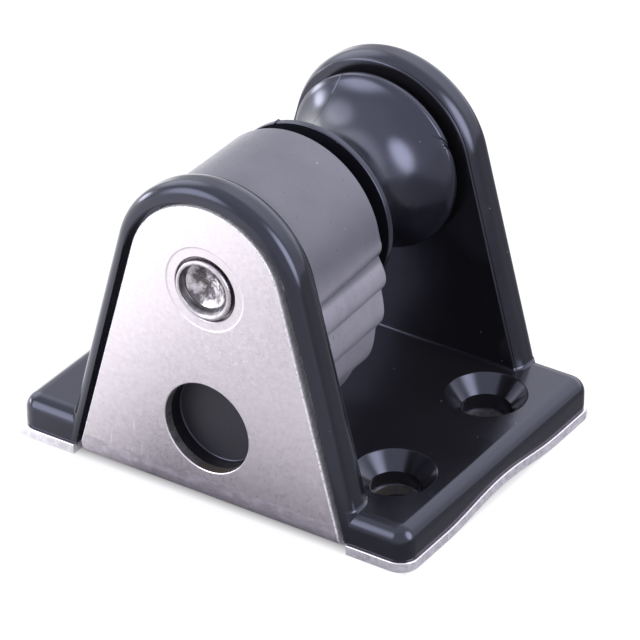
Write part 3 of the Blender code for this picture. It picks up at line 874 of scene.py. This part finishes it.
def roller_profile():
    """The roller's profile from its near end to its far one."""
    low = near_rim + FLANGE_RIM
    high = far_rim - FLANGE_RIM
    half = (high - low) / 2
    depth = flange_radius - WAIST_RADIUS
    sweep = (half * half + depth * depth) / (2 * depth)
    reach = math.degrees(math.asin(half / sweep))
    near_round = (near_rim + RIM_EASE, flange_radius - RIM_EASE)
    far_round = (far_rim - RIM_EASE, flange_radius - RIM_EASE)
    rows = [(roller_low.y, ROLLER_BORE), (roller_low.y, HUB_RADIUS - RIM_EASE)]
    rows += [(roller_low.y + RIM_EASE, HUB_RADIUS), (near_rim + FLANGE_DISH, HUB_RADIUS)]
    rows += arc(near_round, RIM_EASE, 180, 90, 4)
    rows += [(low - RIM_EASE, flange_radius), (low, flange_radius - RIM_EASE / 2)]
    rows += arc(((low + high) / 2, WAIST_RADIUS + sweep), sweep, 270 - reach, 270 + reach, 44)[2:-2]
    rows += [(high, flange_radius - RIM_EASE / 2), (high + RIM_EASE, flange_radius)]
    rows += arc(far_round, RIM_EASE, 90, 0, 4)
    rows += [(far_rim - FLANGE_DISH, HUB_RADIUS), (roller_high.y - RIM_EASE, HUB_RADIUS)]
    rows += [(roller_high.y, HUB_RADIUS - RIM_EASE), (roller_high.y, ROLLER_BORE)]
    return rows


def push_out(vert, amount):
    """Move a point of the roller away from the axle."""
    radius = math.hypot(vert.co.x, vert.co.z)
    vert.co.x *= 1 + amount / radius
    vert.co.z *= 1 + amount / radius


def apart(turn, other):
    """Degrees between two headings."""
    return abs((turn - other + 180) % 360 - 180)


roller_shape = spun(roller_profile(), ROLLER_STEPS)
for vert in roller_shape.verts:
    radius = math.hypot(vert.co.x, vert.co.z)
    turn = math.degrees(math.atan2(vert.co.z, vert.co.x))
    if near_rim + FLANGE_RIM < vert.co.y < far_rim - 0.3 * MM and radius > ROLLER_BORE * 1.5:
        if apart(turn, SEAM_TURN) < 180 / ROLLER_STEPS:
            push_out(vert, -SEAM_DEPTH)
        lean = math.radians((far_rim - vert.co.y) / MM * SEAM_LEAN)
        vert.co = Matrix.Rotation(-lean, 3, "Y") @ vert.co
    if radius > flange_radius - 0.4 * MM and near_rim < vert.co.y < near_rim + FLANGE_RIM:
        push_out(vert, NUB_HEIGHT * max(1 - apart(turn, NUB_TURN) / NUB_SPREAD, 0))
    if radius > flange_radius - 0.4 * MM and vert.co.y > far_rim - FLANGE_RIM:
        ragged = 0.22 + 0.26 * noise.noise(vert.co / MM * 2.3)
        push_out(vert, -ragged * MM * min(max(NICK_SPREAD - apart(turn, NICK_TURN), 0), 1))
roller = to_object("grooved_roller", move(roller_shape, axle))
print("roller from", round(roller_low.y / MM, 2), "to", round(roller_high.y / MM, 2), "mm")

# %% [markdown]
# ## A small kit for finishes
# All the finishes are built from nodes that read Object coordinates, which are metres here, so a scale
# of 1000 gives a pattern about a millimetre wide. Constants sit on the shader's own sockets.

# %% Helpers for materials
def new_finish(name, color, metallic, roughness):
    """A material with its Principled shader set, ready for more nodes."""
    material = bpy.data.materials.new(name)
    material.use_nodes = True
    shader = material.node_tree.nodes["Principled BSDF"]
    shader.inputs["Base Color"].default_value = (*color, 1)
    shader.inputs["Metallic"].default_value = metallic
    shader.inputs["Roughness"].default_value = roughness
    return material, shader


def add_node(owner, kind, output, inputs, **settings):
    """One node's output, with its inputs given as numbers, colours or other nodes' outputs."""
    node = owner.node_tree.nodes.new("ShaderNode" + kind)
    for name, value in settings.items():
        setattr(node, name, value)
    for name, value in inputs.items():
        if isinstance(value, bpy.types.NodeSocket):
            owner.node_tree.links.new(value, node.inputs[name])
        else:
            node.inputs[name].default_value = value
    return node.outputs[output]


def add_noise(material, scale, detail=3, stretch=(1, 1, 1), roughness=0.5):
    """A noise pattern on Object coordinates, stretched along some axes, and its value."""
    place = add_node(material, "TexCoord", "Object", {})
    place = add_node(material, "Mapping", "Vector", {"Vector": place, "Scale": stretch})
    inputs = {"Vector": place, "Scale": scale, "Detail": detail, "Roughness": roughness}
    return add_node(material, "TexNoise", "Fac", inputs)


def remap(owner, value, from_low, from_high, to_low, to_high, **settings):
    """Stretch a value from one range to another, clamped."""
    inputs = {"Value": value, "From Min": from_low, "From Max": from_high, "To Min": to_low, "To Max": to_high}
    return add_node(owner, "MapRange", "Result", inputs, **settings)


def add_values(owner, first, second, operation="ADD"):
    """Combine two values."""
    return add_node(owner, "Math", "Value", {0: first, 1: second}, operation=operation)


def blend_colors(material, factor, first, second):
    """Mix two colours, each given as a colour or as another node's output."""
    inputs = {"Factor": factor}
    for name, color in (("A", first), ("B", second)):
        inputs[name] = (*color, 1) if isinstance(color, tuple) else color
    return add_node(material, "Mix", "Result", inputs, data_type="RGBA")


def add_bump(material, shader, height, distance, strength):
    """Raise the surface by a height pattern, on top of any bump it has."""
    inputs = {"Height": height, "Distance": distance, "Strength": strength}
    below = shader.inputs["Normal"]
    if below.is_linked:
        inputs["Normal"] = below.links[0].from_socket
    material.node_tree.links.new(add_node(material, "Bump", "Normal", inputs), below)


def grained_finish(name, metallic, colors, gloss, grain, split=(0.3, 0.7), bump=(0.00002, 0.5)):
    """A finish whose one grain turns its colour, its roughness and its surface together."""
    material, shader = new_finish(name, colors[1], metallic, gloss[0])
    links = material.node_tree.links
    pattern = add_noise(material, **grain)
    links.new(remap(material, pattern, 0.3, 0.7, *gloss), shader.inputs["Roughness"])
    links.new(blend_colors(material, remap(material, pattern, *split, 0, 1), *colors), shader.inputs["Base Color"])
    add_bump(material, shader, pattern, *bump)
    return material


print("kit for finishes ready")

# %% [markdown]
# ## Black moulded plastic
# The body is a glossy black moulding. A mould's polish is never quite even, so its roughness wanders
# and a very faint waviness bends the reflections. A few pale specks of dust lie on it.

# %% Make the black moulding's finish
def make_black_moulding():
    """Glossy black plastic with an uneven polish and dust."""
    material, shader = new_finish("black moulding", (0.0105, 0.0102, 0.0125), 0.0, 0.12)
    shader.inputs["Specular Tint"].default_value = (0.82, 0.85, 1.12, 1)
    shader.inputs["IOR"].default_value = 1.56
    links = material.node_tree.links
    polish = add_noise(material, 90, 4)
    fine = add_noise(material, 900, 3)
    polish = remap(material, polish, 0.3, 0.7, 0.10, 0.19)
    uneven = add_values(material, polish, remap(material, fine, 0.3, 0.7, 0, 0.05))
    dust = remap(material, add_noise(material, 1900, 0), 0.905, 0.92, 0, 1)
    links.new(add_values(material, uneven, remap(material, dust, 0, 1, 0, 0.3)), shader.inputs["Roughness"])
    links.new(blend_colors(material, dust, (0.0105, 0.0102, 0.0125), (0.20, 0.20, 0.21)), shader.inputs["Base Color"])
    add_bump(material, shader, add_noise(material, 160, 2), 0.00004, 0.35)
    add_bump(material, shader, add_noise(material, 2600, 2), 0.000002, 0.5)
    return material


def make_pocket_finish():
    """The unpolished floor of the blind pockets."""
    material, shader = new_finish("matt pocket", (0.030, 0.029, 0.038), 0.0, 0.5)
    links = material.node_tree.links
    grain = add_noise(material, 1500, 3)
    specks = remap(material, add_noise(material, 1250, 1), 0.80, 0.84, 0, 1)
    links.new(remap(material, grain, 0.3, 0.7, 0.42, 0.56), shader.inputs["Roughness"])
    links.new(blend_colors(material, specks, (0.030, 0.029, 0.038), (0.22, 0.22, 0.24)), shader.inputs["Base Color"])
    add_bump(material, shader, grain, 0.00001, 0.5)
    return material


black_moulding = make_black_moulding()
matt_pocket = make_pocket_finish()
print("finishes:", black_moulding.name, "and", matt_pocket.name)

# %% [markdown]
# ## Stainless sheet and its cut edges
# The sheet is bright with a fine mottle and a few short scratches where the press tool slid at the
# fold. Its cut edge is duller and grainy, because a shear tears the second half of the thickness,
# and its pale colour is painted light. The edges' rims carry a painted highlight, the fold is dulled
# where the sheet was stretched and painted darker for shade, the punched walls are painted dark for
# the shade inside the holes, and the floor's edge was tumbled. Most of these have one grain.

# %% Make the steel finishes
TOOL_MARKS = (-13.6 * MM, -26.2 * MM, 6.6 * MM)
RING_MARKS = (4.5 * MM, -26.2 * MM, 27.5 * MM)


def add_distance(material, center, stretch):
    """Distance from a place, in metres, measured shorter along some axes."""
    place = add_node(material, "TexCoord", "Object", {})
    shift = [-value * scale for value, scale in zip(center, stretch)]
    place = add_node(material, "Mapping", "Vector", {"Vector": place, "Location": shift, "Scale": stretch})
    return add_node(material, "VectorMath", "Value", {0: place}, operation="LENGTH")


def make_bright_sheet():
    """Stainless sheet, mottled and lightly scratched."""
    material, shader = new_finish("bright stainless sheet", (0.72, 0.66, 0.70), 1.0, 0.3)
    links = material.node_tree.links
    mottle = add_noise(material, 1500, 5, roughness=0.7)
    cloud = add_noise(material, 55, 3)
    scratch = add_noise(material, 2600, 2, (1, 1, 0.06))
    marks = remap(material, scratch, 0.60, 0.68, 0, 1)
    slid = remap(material, add_distance(material, TOOL_MARKS, (1, 0.02, 0.75)), 3.0 * MM, 4.2 * MM, 1, 0)
    marks = add_values(material, marks, slid, "MULTIPLY")
    flecks = remap(material, add_noise(material, 2400, 3, (0.6, 1, 1)), 0.56, 0.70, 0, 1)
    bruised = remap(material, add_distance(material, RING_MARKS, (1, 0.02, 0.8)), 2.5 * MM, 9.0 * MM, 0.8, 0)
    flecks = add_values(material, flecks, bruised, "MULTIPLY")
    rough = remap(material, mottle, 0.3, 0.7, 0.22, 0.34)
    rough = add_values(material, rough, remap(material, cloud, 0.3, 0.7, 0, 0.05))
    links.new(rough, shader.inputs["Roughness"])
    shade = remap(material, mottle, 0.3, 0.72, 0, 1)
    tint = blend_colors(material, shade, (0.69, 0.635, 0.675), (0.80, 0.745, 0.785))
    tint = blend_colors(material, flecks, tint, (0.92, 0.87, 0.91))
    links.new(blend_colors(material, marks, tint, (0.93, 0.90, 0.94)), shader.inputs["Base Color"])
    add_bump(material, shader, mottle, 0.00001, 0.32)
    add_bump(material, shader, add_values(material, marks, flecks), 0.000012, 0.6)
    return material


def make_punched_wall():
    """The wall of a punched hole, dark steel as a painted shade inside the hole, with brown patches at random."""
    material, shader = new_finish("punched wall", (0.26, 0.25, 0.26), 0.8, 0.42)
    links = material.node_tree.links
    grain = add_noise(material, 1100, 3, (1, 0.5, 1), 0.6)
    film = remap(material, add_noise(material, 130, 2), 0.45, 0.62, 0, 1)
    steel = blend_colors(material, remap(material, grain, 0.3, 0.7, 0, 1), (0.19, 0.185, 0.20), (0.36, 0.35, 0.365))
    links.new(blend_colors(material, film, steel, (0.20, 0.175, 0.155)), shader.inputs["Base Color"])
    links.new(remap(material, grain, 0.3, 0.7, 0.34, 0.5), shader.inputs["Roughness"])
    add_bump(material, shader, grain, 0.00002, 0.5)
    return material


bright_sheet = make_bright_sheet()
punched_wall = make_punched_wall()
# The cut edge's pale colour is painted light: it stands in for the light that reaches the edge in its narrow gap
# beside the lip. Its grain is real.
sheared_edge = grained_finish(
    "sheared steel edge", 0.1, ((0.66, 0.64, 0.67), (0.97, 0.94, 0.98)), (0.45, 0.7),
    dict(scale=1500, detail=4, stretch=(1, 0.5, 1), roughness=0.7), (0.35, 0.65), (0.00004, 0.7),
)
# The bright rim along each wing's outline is a painted highlight, a thin line of light on the rolled edge.
rim_highlight = grained_finish(
    "painted rim highlight", 0.35, ((0.74, 0.71, 0.74), (0.97, 0.94, 0.97)), (0.22, 0.4),
    dict(scale=1800, roughness=0.6), (0.35, 0.6), (0.000015, 0.5),
)
# The fold's darker colour is a painted shade, the dark floor below seen in the bend; its rougher grain is where the
# tool wiped the sheet.
stretched_fold_shade = grained_finish(
    "stretched fold with painted shade", 1.0, ((0.54, 0.50, 0.55), (0.70, 0.65, 0.715)), (0.34, 0.48),
    dict(scale=1300, detail=4, stretch=(0.6, 1, 1), roughness=0.65), (0.35, 0.65), (0.000014, 0.4),
)
base_edge = grained_finish(
    "tumbled steel edge", 0.8, ((0.80, 0.77, 0.81), (0.97, 0.94, 0.98)), (0.24, 0.44),
    dict(scale=1100, detail=4, roughness=0.65), (0.35, 0.6),
)
print("finishes:", ", ".join(finish.name for finish in (bright_sheet, sheared_edge, stretched_fold_shade, punched_wall)))
print("and", rim_highlight.name, "and", base_edge.name)

# %% [markdown]
# ## Rivet steel
# The axle's head is turned and then hammered, so it is bright with a coarser grain.

# %% Make the rivet's finish
def make_recess_shade_steel():
    """Dark steel, a painted shade for the dimple's wall and for the gap round the rivet's head."""
    material, shader = new_finish("painted recess shade", (0.22, 0.20, 0.21), 0.9, 0.4)
    streaks = add_noise(material, 700, 3, (1, 0.3, 1))
    links = material.node_tree.links
    links.new(
        blend_colors(material, remap(material, streaks, 0.3, 0.7, 0, 1), (0.12, 0.11, 0.115), (0.34, 0.32, 0.33)),
        shader.inputs["Base Color"],
    )
    add_bump(material, shader, streaks, 0.00003, 0.5)
    return material


def make_torn_bottom():
    """The torn bottom of the dimple, bright metal with dark oily patches."""
    material, shader = new_finish("torn dimple bottom", (0.36, 0.34, 0.355), 0.95, 0.34)
    links = material.node_tree.links
    patches = remap(material, add_noise(material, 420, 4, roughness=0.6), 0.42, 0.58, 0, 1)
    links.new(blend_colors(material, patches, (0.13, 0.12, 0.125), (0.68, 0.64, 0.675)), shader.inputs["Base Color"])
    grain = add_noise(material, 1500, 3)
    links.new(remap(material, grain, 0.3, 0.7, 0.24, 0.46), shader.inputs["Roughness"])
    add_bump(material, shader, grain, 0.00003, 0.6)
    return material


rivet_steel = grained_finish(
    "rivet steel", 1.0, ((0.44, 0.41, 0.435), (0.60, 0.565, 0.595)), (0.18, 0.34),
    dict(scale=900, detail=4, roughness=0.6), bump=(0.00003, 0.7),
)
recess_shade_steel = make_recess_shade_steel()
torn_bottom = make_torn_bottom()
print("finishes:", ", ".join(finish.name for finish in (rivet_steel, recess_shade_steel, torn_bottom)))

# %% [markdown]
# ## Cast cam
# The cam is a satin grey casting. Its skin carries fine pits, and the light breaks up on them, so
# small dark pits are mixed in and pressed into the surface. The teeth are painted paler, a painted
# highlight for the light they catch from the right. They lie further from the axle than the round
# back, so that distance places it.

# %% Make the casting's finish
def make_grey_casting():
    """Satin grey casting with pits and a fine grain."""
    material, shader = new_finish("satin grey casting", (0.13, 0.128, 0.155), 0.2, 0.4)
    links = material.node_tree.links
    grain = add_noise(material, 1300, 4, roughness=0.6)
    pits = remap(material, add_noise(material, 1900, 2), 0.71, 0.77, 0, 1)
    specks = remap(material, add_noise(material, 1500, 1, (1, 0.35, 1)), 0.80, 0.84, 0, 1)
    cloud = add_noise(material, 120, 3)
    links.new(remap(material, grain, 0.3, 0.7, 0.27, 0.40), shader.inputs["Roughness"])
    cloud = remap(material, cloud, 0.3, 0.7, 0, 1)
    shade = blend_colors(material, cloud, (0.105, 0.103, 0.126), (0.13, 0.128, 0.155))
    # The teeth are painted paler, a painted highlight for the light they catch from the right side.
    off_axle = add_distance(material, axle, (1, 0, 1))
    rub_rings_and_tooth_light = remap(material, off_axle, (CAM_RADIUS + 0.04) * MM, (CAM_RADIUS + 0.5) * MM, 0, 1)
    rub_rings_and_tooth_light = add_values(material, rub_rings_and_tooth_light, remap(material, add_noise(material, 500, 3), 0.3, 0.6, 0.8, 1), "MULTIPLY")
    shade = blend_colors(material, rub_rings_and_tooth_light, shade, (0.255, 0.245, 0.285))
    shade = blend_colors(material, pits, shade, (0.085, 0.083, 0.10))
    links.new(blend_colors(material, specks, shade, (0.45, 0.44, 0.50)), shader.inputs["Base Color"])
    add_bump(material, shader, grain, 0.00002, 0.5)
    add_bump(material, shader, remap(material, pits, 0, 1, 1, 0), 0.00008, 0.6)
    return material


grey_casting = make_grey_casting()
print("finish:", grey_casting.name)

# %% [markdown]
# ## Roller plastic
# The roller is a semi-gloss black plastic, a little softer in its shine than the body, with fine
# rings where the rope has rubbed.

# %% Make the roller's finish
def make_roller_plastic():
    """Semi-gloss black plastic, rubbed in fine rings about the axle."""
    material, shader = new_finish("black roller plastic", (0.010, 0.010, 0.014), 0.0, 0.3)
    shader.inputs["Specular Tint"].default_value = (0.82, 0.85, 1.12, 1)
    shader.inputs["IOR"].default_value = 1.65
    links = material.node_tree.links
    rub_rings_and_tooth_light = add_noise(material, 420, 3, (0.06, 1, 0.06))
    cloud = add_noise(material, 160, 3)
    cloud = remap(material, cloud, 0.3, 0.7, 0.15, 0.23)
    rub_rings_and_tooth_light = remap(material, rub_rings_and_tooth_light, 0.3, 0.7, 0, 0.04)
    links.new(add_values(material, cloud, rub_rings_and_tooth_light), shader.inputs["Roughness"])
    dust = remap(material, add_noise(material, 1900, 0), 0.905, 0.92, 0, 1)
    links.new(blend_colors(material, dust, (0.010, 0.010, 0.014), (0.2, 0.2, 0.21)), shader.inputs["Base Color"])
    add_bump(material, shader, add_noise(material, 1800, 2), 0.000004, 0.5)
    return material


roller_plastic = make_roller_plastic()
print("finish:", roller_plastic.name)

# %% [markdown]
# ## Dressing the pieces
# The cradle is one piece of sheet with two finishes, so its faces are sorted: a face that looks
# along the sheet instead of through it is a cut edge. Then every piece rides on its own body.

# %% Put the finishes on and set the pieces riding
def cradle_finish(face):
    """Which of the cradle's finishes a face takes, in the order they are given below."""
    center = face.center
    from_axle = math.hypot(center.x, center.z - axle_height)
    below_face = wing_face - abs(center.y)
    from_screw = math.hypot(abs(center.x) - SCREW_X, abs(center.y) - SCREW_Y)
    # The gap round the rivet's head takes the dark recess steel, a painted shade.
    if from_axle < head_radius + HEAD_RELIEF + 0.02 * MM and COIN_DEPTH + 0.02 * MM < below_face < SHEET:
        return 5
    if from_screw < SCREW_STEEL_RADIUS + 0.02 * MM and abs(face.normal.z) < 0.5:
        return 4
    if center.z > BEND_RADIUS:
        on_rim = 0.004 * MM < below_face < DIE_ROLL or below_face > SHEET - 2.6 * BURR
        on_outline = from_axle > COIN_RADIUS + COIN_WALL
        in_hole = math.hypot(center.x, center.z - HOLE_HEIGHT) < HOLE_RADIUS + HOLE_EASE
        if on_rim and on_outline and not in_hole and abs(face.normal.y) < 0.995:
            return 6
        if abs(face.normal.y) > 0.5:
            return 3 if center.z < WIPE_HEIGHT and below_face < 0.01 * MM else 0
        return 4 if math.hypot(center.x, center.z - HOLE_HEIGHT) < HOLE_RADIUS + 0.1 * MM else 1
    if abs(center.y) > fold_line and abs(center.x) < fold_half + 0.01 * MM:
        return 1 if abs(face.normal.x) > 0.5 else 3
    return 2 * int(abs(face.normal.z) < 0.5)


def body_finish(face):
    """1 for the floor of a pocket, 0 elsewhere."""
    off = math.hypot(face.center.x, face.center.z - HOLE_HEIGHT)
    at_floor = abs(abs(face.center.y) - (wing_face - POCKET_FLOOR)) < 0.02 * MM
    return int(at_floor and off < HOLE_RADIUS and abs(face.normal.y) > 0.9)


def axle_finish(face):
    """1 for the wall of a dimple, 2 for its torn bottom, 0 elsewhere."""
    off = math.hypot(face.center.x, face.center.z - axle_height)
    below = head_face - abs(face.center.y)
    if off > head_radius - 0.3 * MM or not 0.22 * MM < below < 5 * MM:
        return 0
    return 1 if below < DIMPLE_WALL + 0.1 * MM and off > BOWL_RADIUS - 0.6 * MM else 2


def sort_faces(item, choose):
    """Give each face of a piece the finish that a rule chooses for it."""
    for face in item.data.polygons:
        face.material_index = choose(face)
    print(item.name, "special faces:", sum(face.material_index > 0 for face in item.data.polygons))


finish_piece(body, [black_moulding, matt_pocket], "housing", "body_moulding")
sort_faces(body, body_finish)
cradle_finishes = [bright_sheet, sheared_edge, base_edge, stretched_fold_shade, punched_wall, recess_shade_steel]
cradle_finishes.append(rim_highlight)
finish_piece(cradle, cradle_finishes, "housing", "steel_cradle")
sort_faces(cradle, cradle_finish)
axle_finishes = [rivet_steel, recess_shade_steel, torn_bottom]
finish_piece(axle_pin, axle_finishes, "housing", "axle_pin", math.radians(50))
sort_faces(axle_pin, axle_finish)
finish_piece(cam, [grey_casting], "cam_body", "cam", math.radians(25))
finish_piece(roller, [roller_plastic], "roller_body", "roller")

# %% [markdown]
# ## Floor, surroundings and lamps
# The photograph was taken in a white tent. The world is white for what the lens and the shiny pieces
# see, and plain soft light for everything else. The floor is pale, and keeps the cleat's shadow.

# %% Build the tent
def make_tent():
    """White surroundings for the camera and the reflections, plain light for the rest."""
    world = bpy.data.worlds.new("white tent")
    bpy.context.scene.world = world
    world.use_nodes = True
    world.node_tree.nodes.clear()
    output = world.node_tree.nodes.new("ShaderNodeOutputWorld")
    glossy, clear, lens = [
        add_node(world, "LightPath", f"Is {kind} Ray", {}) for kind in ("Glossy", "Transmission", "Camera")
    ]
    light, mirrored, seen = [
        add_node(world, "Background", "Background", {"Color": (*color, 1), "Strength": strength})
        for color, strength in (((0.93, 0.93, 1.0), 0.62), ((0.90, 0.91, 1.0), 1.15), ((1, 1, 1), 1.0))
    ]
    shiny = add_values(world, glossy, clear, "MAXIMUM")
    for_pieces = add_node(world, "MixShader", "Shader", {"Fac": shiny, 1: light, 2: mirrored})
    choose = add_node(world, "MixShader", "Shader", {"Fac": lens, 1: for_pieces, 2: seen})
    world.node_tree.links.new(choose, output.inputs["Surface"])


FLOOR_FOR_LENS = 0.80
FLOOR_FOR_MIRROR = 1.35
FLOOR_HEIGHT = -0.02 * MM


def scaled(material, value, factor):
    """A value times a number."""
    return add_node(material, "Math", "Value", {0: value, 1: factor}, operation="MULTIPLY")


def make_floor():
    """A pale floor that reads as white, is brighter towards the window and still shows the shadow."""
    shape = bmesh.new()
    bmesh.ops.create_grid(shape, x_segments=1, y_segments=1, size=2.0)
    floor = to_object("floor", move(shape, (0, 0, FLOOR_HEIGHT)))
    material, shader = new_finish("pale floor", (0.22, 0.22, 0.23), 0.0, 0.6)
    shader.inputs["Specular IOR Level"].default_value = 0.0
    place = add_node(material, "TexCoord", "Object", {})
    along = add_node(material, "SeparateXYZ", "X", {"Vector": place})
    across = add_node(material, "SeparateXYZ", "Y", {"Vector": place})
    reach_x, reach_y = [
        add_node(material, "Math", "Value", {0: scaled(material, value, 1 / size)}, operation="ABSOLUTE")
        for value, size in ((along, base_length), (across, base_width))
    ]
    # Under the cleat the floor's glow is cut off, a painted shade beneath it.
    beside = remap(material, add_values(material, reach_x, reach_y, "MAXIMUM"), 0.44, 0.503, 0, 1)
    for_lens = scaled(material, add_node(material, "LightPath", "Is Camera Ray", {}), FLOOR_FOR_LENS)
    # For reflections the floor glows brighter to the left and in front: a painted light that the shiny pieces mirror.
    to_window = remap(material, along, -10 * MM, -46 * MM, 0, FLOOR_FOR_MIRROR)
    in_front = remap(material, across, -32 * MM, -53 * MM, 0.04, 0.55)
    sheen = add_values(material, to_window, in_front, "MAXIMUM")
    glossy = add_node(material, "LightPath", "Is Glossy Ray", {})
    for_mirror = add_values(material, glossy, sheen, "MULTIPLY")
    glow = add_values(material, add_values(material, for_lens, for_mirror), beside, "MULTIPLY")
    shader.inputs["Emission Color"].default_value = (1, 1, 1, 1)
    material.node_tree.links.new(glow, shader.inputs["Emission Strength"])
    floor.data.materials.append(material)


def fade_edges(data):
    """Let a softbox grow dimmer towards its edges, as cloth over a lamp does."""
    data.use_nodes = True
    place = add_node(data, "NewGeometry", "Parametric", {})
    centred = add_node(data, "VectorMath", "Vector", {0: place, 1: (0.5, 0.5, 0)}, operation="SUBTRACT")
    away = add_node(data, "VectorMath", "Value", {0: centred}, operation="LENGTH")
    fade = remap(data, away, 0.18, 0.5, 1, 0, interpolation_type="SMOOTHSTEP")
    data.node_tree.links.new(fade, data.node_tree.nodes["Emission"].inputs["Strength"])


def add_lamp(name, toward, distance, size, radiance, tall=1.0, color=(0.92, 0.92, 1.0)):
    """A soft lamp that stands in a direction from the cleat and looks at it."""
    data = bpy.data.lights.new(name, "AREA")
    data.shape = "RECTANGLE"
    data.size = size
    data.size_y = size * tall
    data.energy = radiance * math.pi * size * size * tall
    data.color = color
    fade_edges(data)
    item = bpy.data.objects.new(name, data)
    toward = Vector(toward).normalized()
    item.location = Vector((0, 0, 20 * MM)) + toward * distance
    item.rotation_euler = toward.to_track_quat("Z", "Y").to_euler()
    item.visible_camera = False
    bpy.context.scene.collection.objects.link(item)


make_tent()
make_floor()
add_lamp("overhead_softbox", (-0.15, 0.05, 1.0), 0.9, 2.0, 0.22)
add_lamp("front_left_softbox", (-0.64, -0.77, 0.40), 0.9, 0.90, 4.4)
add_lamp("right_softbox", (1.0, 0.06, 0.54), 0.9, 0.82, 6.2, 1.5)
add_lamp("left_softbox", (-1.0, -0.08, 0.06), 0.9, 0.52, 9.0, 0.5)
add_lamp("back_softbox", (0.10, 1.0, 0.55), 0.9, 1.6, 1.0)
add_lamp("back_left_softbox", (-0.94, 0.34, 0.65), 0.9, 1.0, 1.9)
bpy.context.scene.view_settings.view_transform = "Standard"
print("tent, floor and softboxes are up")
